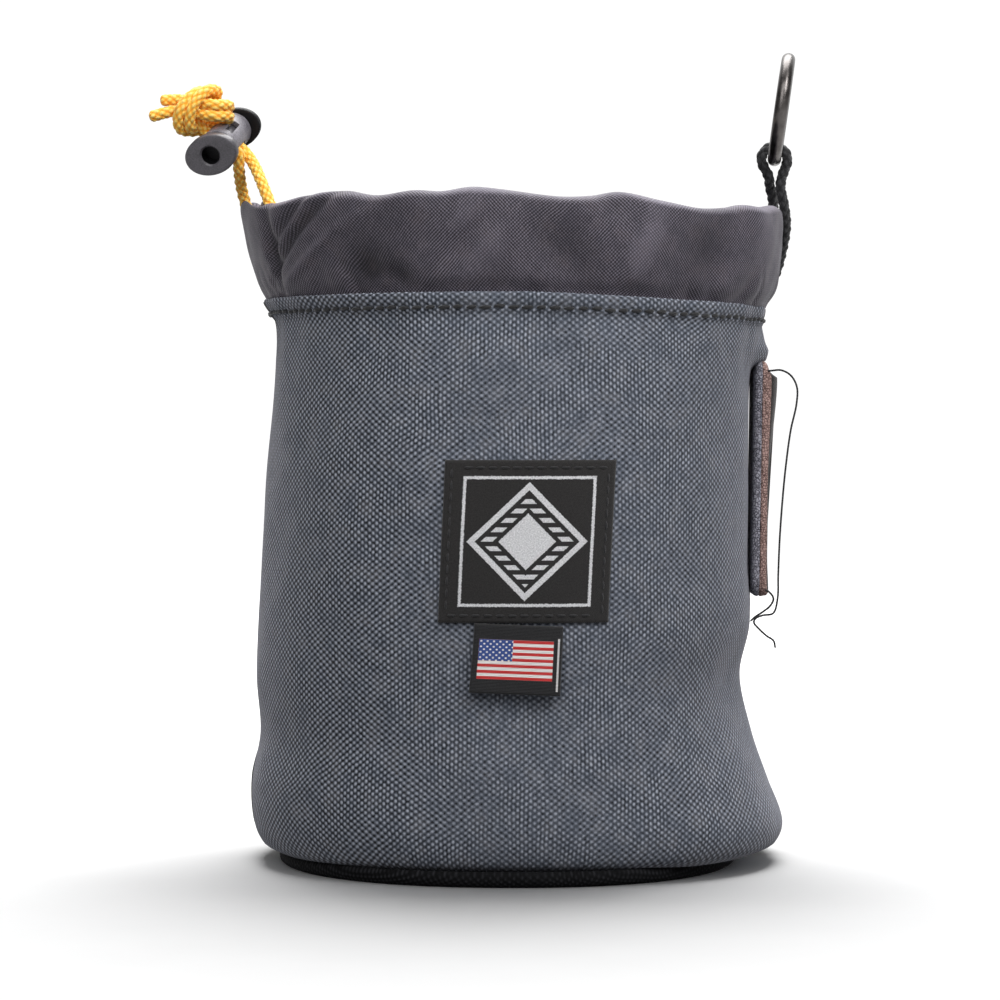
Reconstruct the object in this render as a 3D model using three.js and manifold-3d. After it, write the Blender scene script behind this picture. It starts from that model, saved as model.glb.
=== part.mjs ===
// A drawstring tool pouch: a round cloth body on a flat base, a double collar that holds a
// drawstring with a cord lock, a metal ring on a cord loop, and a leather side tab.
// Millimetres, +Z up. The origin is the middle of the base's flat underside. Front is -Y, right is +X.
// An angle round the pouch is in degrees: 0 at the front, 90 at the right, 180 at the back.
import * as THREE from "three";
import { mergeVertices } from "three/addons/utils/BufferGeometryUtils.js";
import Module from "manifold-3d";

const wasm = await Module();
wasm.setup();

const DEG = Math.PI / 180;
const GAP = 0.35; // clearance between neighbouring pieces

// Half-widths of the body from its axis at each height, outside of the cloth.
const BODY = [
  { z: 3.4, left: 71.0, right: 72.6, front: 70.6, back: 70.8 },
  { z: 6, left: 74.5, right: 77.0, front: 73.2, back: 73.0 },
  { z: 12, left: 77.2, right: 78.8, front: 75.0, back: 74.6 },
  { z: 24, left: 77.8, right: 74.6, front: 75.6, back: 75.2 },
  { z: 38, left: 75.0, right: 69.6, front: 75.6, back: 74.6 },
  { z: 54, left: 76.0, right: 66.6, front: 75.8, back: 74.2 },
  { z: 70, left: 75.5, right: 69.6, front: 76.2, back: 74.4 },
  { z: 88, left: 74.5, right: 68.9, front: 76.6, back: 74.8 },
  { z: 110, left: 73.0, right: 68.9, front: 76.4, back: 75.0 },
  { z: 138, left: 70.8, right: 69.0, front: 75.2, back: 74.3 },
  { z: 147, left: 70.2, right: 69.9, front: 74.4, back: 73.6 },
  { z: 152, left: 70.0, right: 74.0, front: 73.9, back: 73.2 },
  { z: 159, left: 70.6, right: 72.4, front: 73.2, back: 72.8 },
  { z: 165, left: 73.6, right: 73.8, front: 73.6, back: 73.4 },
];
const SQUARENESS = 2.2; // exponent of the body's rounded outline

// Soft dents of the body (a negative depth stands out), with how far each leans round per millimetre up.
const BODY_FOLDS = [
  { at: 9, z: 149, depth: 1.0, wide: 5, tall: 12, lean: -0.6 },
  { at: 0, z: 128, depth: 1.0, wide: 14, tall: 11, lean: 0 },
  { at: 2, z: 50, depth: 1.6, wide: 14, tall: 13, lean: 0 },
  { at: 48, z: 146, depth: -1.2, wide: 14, tall: 16, lean: 0 },
  { at: -38, z: 140, depth: 1.2, wide: 13, tall: 16, lean: 0.4 },
  { at: 60, z: 52, depth: 2.0, wide: 16, tall: 16, lean: 0.3 },
  { at: -60, z: 100, depth: 0.9, wide: 15, tall: 22, lean: 0 },
  { at: 146, z: 66, depth: 2.2, wide: 17, tall: 30, lean: 0.2 },
  { at: 208, z: 112, depth: 2.0, wide: 18, tall: 26, lean: -0.2 },
  { at: 176, z: 146, depth: 1.2, wide: 12, tall: 14, lean: 0.5 },
];

const CLOTH = 1.6; // body wall
const HEM_STEP = 0.7; // the folded hem stands out this much
const HEM_LINE = 165; // the hem's top edge in the tables of the body
const HEM_REACH = 25; // the wall follows the hem's rise and fall this far down
const HEM_TOP = [
  { at: -90, z: 164.2 },
  { at: 0, z: 165 },
  { at: 20, z: 164.1 },
  { at: 45, z: 162.8 },
  { at: 90, z: 162.2 },
  { at: 180, z: 165 },
];
const SEAM = 92; // angle of the two side seams from the front

// Rows of the body wall from the lip that is turned under to the top of the hem.
// out: outside face, in: inside face, each as a height and an inset from the body's outline.
const WALL_ROWS = [
  { outZ: 3.15, outInset: 8, inZ: 4.75, inInset: 8 },
  { outZ: 3.15, outInset: 2.6, inZ: 4.75, inInset: 4.2 },
  { outZ: 4.2, outInset: 0, inZ: 6, inInset: CLOTH },
  { outZ: 8, outInset: 0, inZ: 9, inInset: CLOTH },
  { outZ: 14, outInset: 0, inZ: 14, inInset: CLOTH },
  { outZ: 24, outInset: 0, inZ: 24, inInset: CLOTH },
  { outZ: 38, outInset: 0, inZ: 38, inInset: CLOTH },
  { outZ: 52, outInset: 0, inZ: 52, inInset: CLOTH },
  { outZ: 66, outInset: 0, inZ: 66, inInset: CLOTH },
  { outZ: 84, outInset: 0, inZ: 84, inInset: CLOTH },
  { outZ: 104, outInset: 0, inZ: 104, inInset: CLOTH },
  { outZ: 122, outInset: 0, inZ: 122, inInset: CLOTH },
  { outZ: 138, outInset: 0, inZ: 138, inInset: CLOTH },
  { outZ: 147, outInset: 0, inZ: 147, inInset: CLOTH },
  { outZ: 152, outInset: 0, inZ: 152, inInset: CLOTH },
  { outZ: 159, outInset: 0, inZ: 159, inInset: CLOTH },
  { outZ: 159.9, outInset: -HEM_STEP, inZ: 160.2, inInset: CLOTH },
  { outZ: HEM_LINE, outInset: -HEM_STEP, inZ: HEM_LINE, inInset: CLOTH },
];
const PANEL_COLUMNS = 20;

// Round base: rows from the middle of its underside, up over the rim, to the middle of its top.
const BASE = { left: 69.4, right: 65, front: 76, back: 74 };
const BASE_ROWS = [
  { z: 0, inset: 40 },
  { z: 0, inset: 1.6 },
  { z: 0.5, inset: 0.4 },
  { z: 1.4, inset: 0 },
  { z: 2.3, inset: 0.4 },
  { z: 2.8, inset: 1.6 },
  { z: 2.8, inset: 40 },
];
const BASE_COLUMNS = 40;

// Collar: half-widths and the distance between its two faces, from the hem (up 0) to the rim (up 1).
const COLLAR = [
  { up: 0, left: 74.4, right: 75.2, front: 74.2, back: 74.2, thick: 2.6 },
  { up: 0.25, left: 76.2, right: 77.2, front: 75.6, back: 75.4, thick: 3.6 },
  { up: 0.54, left: 78.5, right: 78.2, front: 77.0, back: 76.8, thick: 5.8 },
  { up: 0.78, left: 80.0, right: 78.6, front: 77.6, back: 77.4, thick: 6.8 },
  { up: 0.92, left: 80.4, right: 78.4, front: 77.4, back: 77.0, thick: 6.2 },
  { up: 1, left: 79.6, right: 78.0, front: 76.6, back: 76.4, thick: 5.4 },
];
const RIM = [
  { at: -160, z: 191.6 },
  { at: -125, z: 193.6 },
  { at: -98, z: 192.4 },
  { at: -85, z: 193.6 },
  { at: -77, z: 194 },
  { at: -70, z: 192.4 },
  { at: -63, z: 191.2 },
  { at: -56.5, z: 191.3 },
  { at: -47.6, z: 192.8 },
  { at: -38, z: 193.4 },
  { at: -30.5, z: 191.9 },
  { at: -22, z: 193.1 },
  { at: -9.4, z: 193.8 },
  { at: 9, z: 191.2 },
  { at: 22.4, z: 192.6 },
  { at: 41.5, z: 188.8 },
  { at: 55.7, z: 190.3 },
  { at: 64, z: 190.2 },
  { at: 76, z: 191.4 },
  { at: 85, z: 191.6 },
  { at: 95, z: 190.8 },
  { at: 118, z: 193 },
  { at: 145, z: 191 },
  { at: 172, z: 193.4 },
];
// Folds of the collar: dents, with their middle as a share of the way up and their lean per share.
const COLLAR_FOLDS = [
  { at: -61.6, up: 0.5, depth: 2.2, wide: 3.2, tall: 0.46, lean: 1 },
  { at: -51.5, up: 0.66, depth: 2.2, wide: 4, tall: 0.42, lean: 30 },
  { at: -45, up: 0.43, depth: -1.0, wide: 3.4, tall: 0.4, lean: 34 },
  { at: -32, up: 0.22, depth: 1.8, wide: 5, tall: 0.2, lean: 0 },
  { at: -29, up: 0.55, depth: 1.5, wide: 12, tall: 0.7, lean: 6 },
  { at: -8, up: 0.6, depth: -1.0, wide: 9, tall: 0.6, lean: 4 },
  { at: 10, up: 0.5, depth: 1.4, wide: 9, tall: 0.5, lean: -14 },
  { at: 27, up: 0.5, depth: -0.9, wide: 6, tall: 0.5, lean: 6 },
  { at: 43, up: 0.55, depth: 1.5, wide: 9, tall: 0.5, lean: 8 },
  { at: 62, up: 0.7, depth: -0.7, wide: 6, tall: 0.4, lean: 0 },
  { at: 112, up: 0.6, depth: 1.8, wide: 8, tall: 0.5, lean: 6 },
  { at: 150, up: 0.5, depth: 2.0, wide: 9, tall: 0.5, lean: -8 },
  { at: 188, up: 0.6, depth: 1.8, wide: 8, tall: 0.5, lean: 8 },
  { at: 226, up: 0.55, depth: 2.2, wide: 9, tall: 0.5, lean: -8 },
  { at: 256, up: 0.6, depth: 1.6, wide: 6, tall: 0.45, lean: 6 },
];
const COLLAR_TUCK = 8; // the collar reaches this far down inside the hem
const COLLAR_SHEET = 1.0; // each of its two layers
// Sections of the collar lie closer together round the angle where its folds are sharpest.
const COLLAR_SECTIONS = { count: 50, finest: -50, closeness: 0.45 };
// The slit in the collar's rim where both strands come out of the channel: its ends by angle, the
// cloth on each side of it, and its floor and top as shares of the collar's height.
const SLIT = { left: -89, right: -63.5, wall: 1.0, floor: 0.72, top: 1.2, columns: 7 };

const CORD = { diameter: 3, sides: 8, steps: 80, closeEnds: 0.55, up: 0.76 };
// Cord lock: its middle, the direction of its barrel and the direction of the cords through it.
const LOCK = {
  middle: new THREE.Vector3(-84, -22, 210),
  barrelWay: new THREE.Vector3(0.249, 0.883, 0.399).normalize(),
  cordWay: new THREE.Vector3(-0.826, -0.02, 0.561).normalize(),
  barrel: 10.4,
  bore: 7.7,
  stem: 7,
  flangeLong: 16.2,
  flangeShort: 11.8,
  flangeTurn: 124,
  nearFlange: 3.2,
  nearFace: -13.2,
  barrelNear: -6.2,
  barrelFar: 9.2,
  farFace: 11.2,
  boreEnd: 9.4,
  stemEnd: 5.4,
  slotWide: 4,
  slotNear: -3.6,
  slotFar: 3.8,
  stemSlotNear: -7.1,
  faceHole: 5.4,
  faceHoleDeep: 4,
  windowWide: 2.2,
  windowNear: -3.6,
  windowFar: 3.6,
};
const STRAND_OFFSET = 1.7; // each strand's distance from the lock's middle, along the barrel

// Free strands of the drawstring from the mouths of the channel to the lock.
const RIGHT_STRAND = [
  new THREE.Vector3(-69.8, -30.2, 189.4),
  new THREE.Vector3(-72.9, -26.4, 197.4),
  new THREE.Vector3(-75.9, -21.8, 203.6),
];
const LEFT_STRAND = [
  new THREE.Vector3(-77.3, -9.8, 188.2),
  new THREE.Vector3(-79.4, -15.2, 196),
  new THREE.Vector3(-79.9, -21.6, 202.5),
];
const MOUTHS = { right: -63, left: -93, step: 10 }; // where the strands turn up out of the channel
const LOCK_REACH = { below: 5.4, above: 8 }; // the strands run straight this far from the lock's middle
const KNOT = {
  middle: new THREE.Vector3(-91.9, -24.6, 218.7),
  longWay: new THREE.Vector3(-0.99, 0, 0.15).normalize(),
  long: 13,
  thick: 10.6,
  wrapTurn: 62,
};
const UPPER_TAIL = [
  new THREE.Vector3(-95.5, -24, 219.6),
  new THREE.Vector3(-99.2, -24.1, 221.4),
  new THREE.Vector3(-102.3, -24.4, 221.2),
];
const LOWER_TAIL = [
  new THREE.Vector3(-95.5, -26, 217.8),
  new THREE.Vector3(-100.4, -26.3, 217.6),
  new THREE.Vector3(-105.3, -26.2, 216.3),
];

// Ring: wire ring on a cord loop, nearly edge-on to the front and leaning a little to the right.
const RING = {
  seat: new THREE.Vector3(76.4, 0, 205.8),
  outside: 33.5,
  wire: 4,
  lean: 8,
  yaw: 4,
};
const LOOP = { diameter: 2.9, sides: 8, steps: 44 };
// Legs of the ring's loop from the side seam up to the ring: angle, distance from the axis and height.
const LOOP_LEG_FRONT = [
  { at: 102, out: 78, z: 165.2 },
  { at: 100.5, out: 79.5, z: 172 },
  { at: 97.5, out: 80.6, z: 180 },
  { at: 94.6, out: 80.7, z: 187 },
  { at: 92, out: 79.6, z: 193 },
  { at: 90.6, out: 78.4, z: 197.6 },
];
const LOOP_LEG_BACK = [
  { at: 111.5, out: 78, z: 165.6 },
  { at: 111, out: 79.6, z: 173 },
  { at: 108.5, out: 80.3, z: 182 },
  { at: 103, out: 80.1, z: 189.4 },
  { at: 95.6, out: 77.2, z: 195 },
  { at: 93.4, out: 75.6, z: 198.4 },
];

// Side tab of two layers standing against the right side.
const TAB = { bottom: 77.5, top: 146.5, wide: 24, corner: 4, layer: 2.4, seat: 70.1, lean: 0.8 };

const LABEL = { wide: 46.5, tall: 45, x: 3, z: 96, thick: 0.8, lean: 2.6, columns: 9, rows: 7 };
const TAG = {
  wide: 24,
  tall: 19.2,
  x: 0.8,
  top: 73,
  thick: 1.4,
  standOff: 1.7,
  lean: 3.6,
  columns: 5,
  rows: 5,
};

// Tables

// A column of a table at a place on its key, on a smooth curve through the rows.
function smooth(rows, key, name, place) {
  const last = rows.length - 1;
  if (place <= rows[0][key]) return rows[0][name];
  if (place >= rows[last][key]) return rows[last][name];
  let i = 0;
  while (rows[i + 1][key] < place) i += 1;
  const slope = (k) => {
    const a = rows[Math.max(0, k - 1)];
    const b = rows[Math.min(last, k + 1)];
    return (b[name] - a[name]) / (b[key] - a[key]);
  };
  const span = rows[i + 1][key] - rows[i][key];
  const t = (place - rows[i][key]) / span;
  const from = rows[i][name] * (1 + 2 * t) * (1 - t) ** 2;
  const to = rows[i + 1][name] * t * t * (3 - 2 * t);
  return from + to + span * (slope(i) * t * (1 - t) ** 2 - slope(i + 1) * t * t * (1 - t));
}

// The same for a table whose key is an angle round the pouch.
function smoothRound(rows, name, angle) {
  const place = angle - 360 * Math.floor((angle + 180) / 360);
  const first = rows[0];
  const last = rows[rows.length - 1];
  const loop = [{ ...last, at: last.at - 360 }, ...rows, { ...first, at: first.at + 360 }];
  return smooth(loop, "at", name, place);
}

function ease(t) {
  const s = Math.min(1, Math.max(0, t));
  return s * s * (3 - 2 * s);
}

// Sum of a table's dents at a place.
function dent(folds, angle, height, key) {
  let depth = 0;
  for (const fold of folds) {
    const up = height - fold[key];
    const off = angle - fold.at - fold.lean * up;
    const round = off - 360 * Math.round(off / 360);
    depth += fold.depth * Math.exp(-((round / fold.wide) ** 2) - (up / fold.tall) ** 2);
  }
  return depth;
}

// Distance from the axis to a rounded outline with these half-widths.
function outline(half, angle) {
  const s = Math.sin(angle * DEG);
  const c = Math.cos(angle * DEG);
  const across = Math.abs(s) / (s < 0 ? half.left : half.right);
  const along = Math.abs(c) / (c < 0 ? half.back : half.front);
  return (across ** SQUARENESS + along ** SQUARENESS) ** (-1 / SQUARENESS);
}

function halves(rows, key, place) {
  const half = {};
  for (const side of ["left", "right", "front", "back"]) half[side] = smooth(rows, key, side, place);
  return half;
}

function polar(angle, out, z) {
  return new THREE.Vector3(out * Math.sin(angle * DEG), -out * Math.cos(angle * DEG), z);
}

// The body's outside at an angle and a height of the table.
function bodyOut(angle, z) {
  return outline(halves(BODY, "z", z), angle) - dent(BODY_FOLDS, angle, z, "z");
}

function hemTop(angle) {
  return smoothRound(HEM_TOP, "z", angle);
}

// The hem's edge rises and falls round the pouch, and the wall near it follows.
function wallHeight(angle, z) {
  return z + (hemTop(angle) - HEM_LINE) * ease(1 + (z - HEM_LINE) / HEM_REACH);
}

function collarHeight(angle, up) {
  const hem = hemTop(angle);
  return hem + up * (smoothRound(RIM, "z", angle) - hem);
}

// The collar's outside at an angle and a share of its height.
function collarOut(angle, up) {
  return outline(halves(COLLAR, "up", up), angle) - dent(COLLAR_FOLDS, angle, up, "up");
}

// Meshes

// A closed mesh from points and triangles, turned so that its faces point out.
function closed(points, triangles) {
  let volume = 0;
  for (const [a, b, c] of triangles) volume += points[a].dot(points[b].clone().cross(points[c]));
  const flat = triangles.map(([a, b, c]) => (volume < 0 ? [a, c, b] : [a, b, c])).flat();
  const position = new THREE.Float32BufferAttribute(points.flatMap((p) => p.toArray()), 3);
  const geometry = new THREE.BufferGeometry().setAttribute("position", position).setIndex(flat);
  geometry.computeVertexNormals();
  return geometry;
}

// Triangles between two rows of point numbers of equal length.
function strip(lower, upper, loop) {
  const triangles = [];
  const count = lower.length;
  for (let i = 0; i < (loop ? count : count - 1); i += 1) {
    const j = (i + 1) % count;
    triangles.push([lower[i], upper[i], upper[j]], [lower[i], upper[j], lower[j]]);
  }
  return triangles;
}

// A sheet between an outside grid and an inside grid of points, closed round its four edges.
function sheet(outside, inside) {
  const columns = outside[0].length;
  const points = [...outside.flat(), ...inside.flat()];
  const row = (grid, i) => outside[0].map((_, j) => (grid * outside.length + i) * columns + j);
  const triangles = [];
  for (let i = 0; i + 1 < outside.length; i += 1) {
    triangles.push(...strip(row(0, i), row(0, i + 1), false));
    triangles.push(...strip(row(1, i + 1), row(1, i), false));
  }
  const border = (grid) => [
    ...row(grid, 0),
    ...outside.slice(1, -1).map((_, i) => row(grid, i + 1)[columns - 1]),
    ...row(grid, outside.length - 1).reverse(),
    ...outside.slice(1, -1).map((_, i) => row(grid, outside.length - 2 - i)[0]),
  ];
  triangles.push(...strip(border(1), border(0), true));
  return closed(points, triangles);
}

// A hollow ring along sections that go all the way round, each with an outside loop and a hole's loop
// that runs the other way round.
function sleeve(sections) {
  const outer = sections[0].outside.length;
  const size = outer + sections[0].hole.length;
  const points = sections.flatMap((s) => [...s.outside, ...s.hole]);
  const numbers = (n, from, count) => Array.from({ length: count }, (_, i) => n * size + from + i);
  const triangles = [];
  for (let n = 0; n < sections.length; n += 1) {
    const next = (n + 1) % sections.length;
    triangles.push(...strip(numbers(n, 0, outer), numbers(next, 0, outer), true));
    triangles.push(...strip(numbers(n, outer, size - outer), numbers(next, outer, size - outer), true));
  }
  return closed(points, triangles);
}

// A solid of stacked loops of points, closed by a point at each end.
function stacked(loops, first, last) {
  const count = loops[0].length;
  const points = [...loops.flat(), first, last];
  const numbers = (n) => loops[0].map((_, i) => n * count + i);
  const triangles = [];
  for (let n = 0; n + 1 < loops.length; n += 1) triangles.push(...strip(numbers(n), numbers(n + 1), true));
  const start = loops.length * count;
  const top = start - count;
  for (let i = 0; i < count; i += 1) {
    const j = (i + 1) % count;
    triangles.push([start, i, j], [start + 1, top + j, top + i]);
  }
  return closed(points, triangles);
}

function circle(diameter, sides) {
  const corners = Array.from({ length: sides }, (_, i) => (2 * Math.PI * i) / sides);
  return new THREE.Shape(
    corners.map((t) => new THREE.Vector2((diameter / 2) * Math.cos(t), (diameter / 2) * Math.sin(t))),
  );
}

// A smooth curve through points whose steps can lie closer towards both of its ends.
class CordRoute extends THREE.CatmullRomCurve3 {
  constructor(points, closeness) {
    super(points, false, "centripetal");
    this.closeness = closeness;
  }
  share(u) {
    return u - (this.closeness * Math.sin(2 * Math.PI * u)) / (2 * Math.PI);
  }
  getPointAt(u, target) {
    return super.getPointAt(this.share(u), target);
  }
  getTangentAt(u, target) {
    return super.getTangentAt(this.share(u), target);
  }
}

// A round cord along a smooth curve through points.
function cordAlong(points, diameter, sides, steps, closeness = 0) {
  const extrudePath = new CordRoute(points, closeness);
  const options = { extrudePath, steps, bevelEnabled: false };
  return new THREE.ExtrudeGeometry(circle(diameter, sides), options);
}

// A geometry as a solid for joins and cuts, and back again.
function solid(geometry) {
  const bare = geometry.index ? geometry.toNonIndexed() : geometry.clone();
  bare.deleteAttribute("normal");
  bare.deleteAttribute("uv");
  const merged = mergeVertices(bare, 1e-4);
  const vertProperties = merged.attributes.position.array;
  const triVerts = new Uint32Array(merged.index.array);
  return new wasm.Manifold(new wasm.Mesh({ numProp: 3, vertProperties, triVerts }));
}

function geometryOf(made) {
  const { vertProperties, triVerts } = made.getMesh();
  const geometry = new THREE.BufferGeometry();
  geometry.setAttribute("position", new THREE.Float32BufferAttribute(vertProperties, 3));
  geometry.setIndex(Array.from(triVerts));
  geometry.computeVertexNormals();
  return geometry;
}

const pouch = new THREE.Group();

function add(name, geometry, material) {
  const mesh = new THREE.Mesh(geometry, material);
  mesh.name = name;
  pouch.add(mesh);
  return mesh;
}

function finish(color, roughness, metalness = 0) {
  return new THREE.MeshStandardMaterial({ color, roughness, metalness });
}

const greyCloth = finish(0x50585f, 0.9);
const blackCloth = finish(0x1c1b1d, 0.85);
const blackPackcloth = finish(0x2b292c, 0.6);
const orangeCord = finish(0xe0942a, 0.8);
const blackCord = finish(0x18181a, 0.8);
const blackPlastic = finish(0x151517, 0.4);
const darkMetal = finish(0x3a3835, 0.3, 1);
const charcoalWebbing = finish(0x2c2e31, 0.9);
const leather = finish(0x2a211c, 0.6);
const wovenBlack = finish(0x121214, 0.85);
const wovenTag = finish(0xb9b9b6, 0.85);

// Body wall

// Half of the body wall between two angles.
function panel(from, to) {
  const edge = (0.5 * GAP) / (BODY[0].left * DEG);
  const columns = Array.from({ length: PANEL_COLUMNS + 1 }, (_, j) => j / PANEL_COLUMNS);
  const angles = columns.map((t) => from + edge + t * (to - from - 2 * edge));
  const point = (angle, z, inset) => polar(angle, bodyOut(angle, z) - inset, wallHeight(angle, z));
  const outside = WALL_ROWS.map((row) => angles.map((angle) => point(angle, row.outZ, row.outInset)));
  const inside = WALL_ROWS.map((row) => angles.map((angle) => point(angle, row.inZ, row.inInset)));
  return sheet(outside, inside);
}

// Base

function base() {
  const angles = Array.from({ length: BASE_COLUMNS }, (_, j) => (360 * j) / BASE_COLUMNS);
  const loops = BASE_ROWS.map((row) => angles.map((a) => polar(a, outline(BASE, a) - row.inset, row.z)));
  const top = BASE_ROWS[BASE_ROWS.length - 1].z;
  return stacked(loops, new THREE.Vector3(0, 0, 0), new THREE.Vector3(0, 0, top));
}

// Collar

function collarThick(up) {
  return smooth(COLLAR, "up", "thick", up);
}

// A place in the collar, by its angle, its share of the height and how far it is from the outside.
function collarPlace(angle, up, inset) {
  return polar(angle, collarOut(angle, up) - inset, collarHeight(angle, up));
}

function collarSection(angle) {
  const tucked = (down, inset) => {
    const wall = bodyOut(angle, HEM_LINE - Math.max(0, down)) - CLOTH - GAP;
    return polar(angle, wall - inset, hemTop(angle) - down);
  };
  const at = (up, inset) => collarPlace(angle, up, inset);
  const layers = 2 * COLLAR_SHEET;
  const outside = [
    tucked(COLLAR_TUCK, 0.4),
    tucked(5, 0.4),
    tucked(-0.5, 0.25),
    at(0.04, 0.2),
    at(0.25, 0),
    at(0.54, 0),
    at(0.78, 0),
    at(0.92, 0.3),
    at(1, 0.36 * collarThick(1)),
    at(1, 0.72 * collarThick(1)),
    at(0.92, collarThick(0.92)),
    at(0.78, collarThick(0.78)),
    at(0.54, collarThick(0.54)),
    at(0.25, collarThick(0.25)),
    at(0.04, collarThick(0)),
    tucked(1, layers),
    tucked(COLLAR_TUCK, layers),
  ];
  const hole = [
    at(0.32, 0.5 * collarThick(0.32)),
    at(0.54, collarThick(0.54) - COLLAR_SHEET),
    at(0.78, collarThick(0.78) - COLLAR_SHEET),
    at(0.9, collarThick(0.9) - COLLAR_SHEET - 0.4),
    at(0.95, 0.5 * collarThick(0.95)),
    at(0.9, COLLAR_SHEET + 0.6),
    at(0.78, COLLAR_SHEET),
    at(0.54, COLLAR_SHEET),
  ];
  return { outside, hole };
}

// What the slit takes out of the rim, between the collar's two layers.
function slit() {
  const angles = Array.from(
    { length: SLIT.columns },
    (_, j) => SLIT.left + ((SLIT.right - SLIT.left) * j) / (SLIT.columns - 1),
  );
  const rows = [SLIT.floor, 0.5 * (SLIT.floor + 1), 1, SLIT.top];
  const face = (inset) => rows.map((up) => angles.map((angle) => collarPlace(angle, up, inset(up))));
  return sheet(face(() => SLIT.wall), face((up) => collarThick(up) - SLIT.wall));
}

function collar() {
  const { count, finest, closeness } = COLLAR_SECTIONS;
  const angles = Array.from({ length: count }, (_, j) => {
    const even = (360 * j) / count;
    return finest + even - (closeness / DEG) * Math.sin(even * DEG);
  });
  const made = solid(sleeve(angles.map(collarSection)))
    .subtract(solid(slit()))
    .subtract(solid(drawstring(CORD.diameter + 2 * GAP)));
  return geometryOf(made);
}

// Drawstring

// A place beside the lock: along the cords and along the barrel from its middle.
function byLock(alongCord, alongBarrel) {
  const place = LOCK.middle.clone();
  place.addScaledVector(LOCK.cordWay, alongCord);
  return place.addScaledVector(LOCK.barrelWay, alongBarrel);
}

// The strand that passes the lock, from its lower side to its upper side.
function throughLock(alongBarrel) {
  return [-LOCK_REACH.below, 0, LOCK_REACH.above].map((along) => byLock(along, alongBarrel));
}

function drawstringRoute() {
  const channel = [];
  for (let angle = MOUTHS.right; angle <= 360 + MOUTHS.left; angle += MOUTHS.step) {
    channel.push(collarPlace(angle, CORD.up, 0.5 * collarThick(CORD.up)));
  }
  return [
    ...throughLock(STRAND_OFFSET).reverse(),
    ...[...RIGHT_STRAND].reverse(),
    ...channel,
    ...LEFT_STRAND,
    ...throughLock(-STRAND_OFFSET),
  ];
}

// The drawstring's tube, or the wider one that its way through the collar needs.
function drawstring(diameter) {
  return cordAlong(drawstringRoute(), diameter, CORD.sides, CORD.steps, CORD.closeEnds);
}

// The overhand knot in the doubled cord: a rounded lump with two wraps, two tails and sockets for
// the strands.
function knot() {
  const lump = new THREE.SphereGeometry(0.5, 12, 8).scale(KNOT.thick, KNOT.thick, KNOT.long);
  const turn = new THREE.Quaternion().setFromUnitVectors(new THREE.Vector3(0, 0, 1), KNOT.longWay);
  let made = solid(lump.applyQuaternion(turn).translate(...KNOT.middle.toArray()));
  for (const tilt of [KNOT.wrapTurn - 90, 90 - KNOT.wrapTurn]) {
    const wrap = new THREE.TorusGeometry(0.5 * KNOT.thick - 1.2, 0.5 * CORD.diameter, 6, 12);
    wrap.rotateX(tilt * DEG).applyQuaternion(turn).translate(...KNOT.middle.toArray());
    made = made.add(solid(wrap));
  }
  for (const tail of [UPPER_TAIL, LOWER_TAIL]) {
    made = made.add(solid(cordAlong(tail, CORD.diameter, CORD.sides, 4)));
  }
  for (const offset of [-STRAND_OFFSET, STRAND_OFFSET]) {
    const run = [byLock(0, offset), byLock(LOCK_REACH.above + GAP, offset)];
    made = made.subtract(solid(cordAlong(run, CORD.diameter + 2 * GAP, CORD.sides, 1)));
  }
  return geometryOf(made);
}

// Cord lock, built along its barrel with the cords along X

function flangeShape() {
  const shape = new THREE.Shape();
  shape.absellipse(0, 0, LOCK.flangeLong / 2, LOCK.flangeShort / 2, 0, 2 * Math.PI);
  return shape;
}

// An outline pushed along the barrel from one place to another.
function along(shape, from, to, segments = 10) {
  const options = { depth: to - from, bevelEnabled: false, curveSegments: segments };
  return new THREE.ExtrudeGeometry(shape, options).translate(0, 0, from);
}

function flangeAt(from, to) {
  const bevel = 0.6;
  const options = {
    depth: to - from - 2 * bevel,
    bevelThickness: bevel,
    bevelSize: bevel,
    bevelOffset: -bevel,
    bevelSegments: 2,
    curveSegments: 12,
  };
  const flange = new THREE.ExtrudeGeometry(flangeShape(), options).translate(0, 0, from + bevel);
  return solid(flange.rotateZ(LOCK.flangeTurn * DEG));
}

// The slot that the two strands pass through, right across the barrel.
function cordSlot(near, far) {
  const slot = new THREE.BoxGeometry(2 * LOCK.barrel, LOCK.slotWide, far - near);
  return solid(slot.translate(0, 0, 0.5 * (near + far)));
}

// The window through the front of the barrel's wall.
function barrelWindow() {
  const { barrel, windowWide, windowNear, windowFar } = LOCK;
  const cut = new THREE.BoxGeometry(windowWide, 0.5 * barrel, windowFar - windowNear);
  return solid(cut.translate(0, 0.45 * barrel, 0.5 * (windowNear + windowFar)));
}

function lockPlace(geometry) {
  const third = LOCK.barrelWay.clone().cross(LOCK.cordWay).normalize();
  const turn = new THREE.Matrix4().makeBasis(LOCK.cordWay, third, LOCK.barrelWay);
  return geometry.applyMatrix4(turn.setPosition(LOCK.middle));
}

function lockBody() {
  const made = solid(along(circle(LOCK.barrel, 20), LOCK.barrelNear, LOCK.barrelFar + 0.2))
    .add(flangeAt(LOCK.barrelFar, LOCK.farFace))
    .subtract(solid(along(circle(LOCK.bore, 20), LOCK.barrelNear - 1, LOCK.boreEnd)))
    .subtract(cordSlot(LOCK.slotNear, LOCK.slotFar))
    .subtract(barrelWindow());
  return lockPlace(geometryOf(made));
}

function lockPlunger() {
  const flangeEnd = LOCK.nearFace + LOCK.nearFlange;
  const made = flangeAt(LOCK.nearFace, flangeEnd)
    .add(solid(along(circle(LOCK.stem, 16), flangeEnd - 0.2, LOCK.stemEnd)))
    .subtract(solid(along(circle(LOCK.faceHole, 16), LOCK.nearFace - 1, LOCK.nearFace + LOCK.faceHoleDeep)))
    .subtract(cordSlot(LOCK.stemSlotNear, LOCK.slotFar));
  return lockPlace(geometryOf(made));
}

// Ring and its loop

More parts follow.
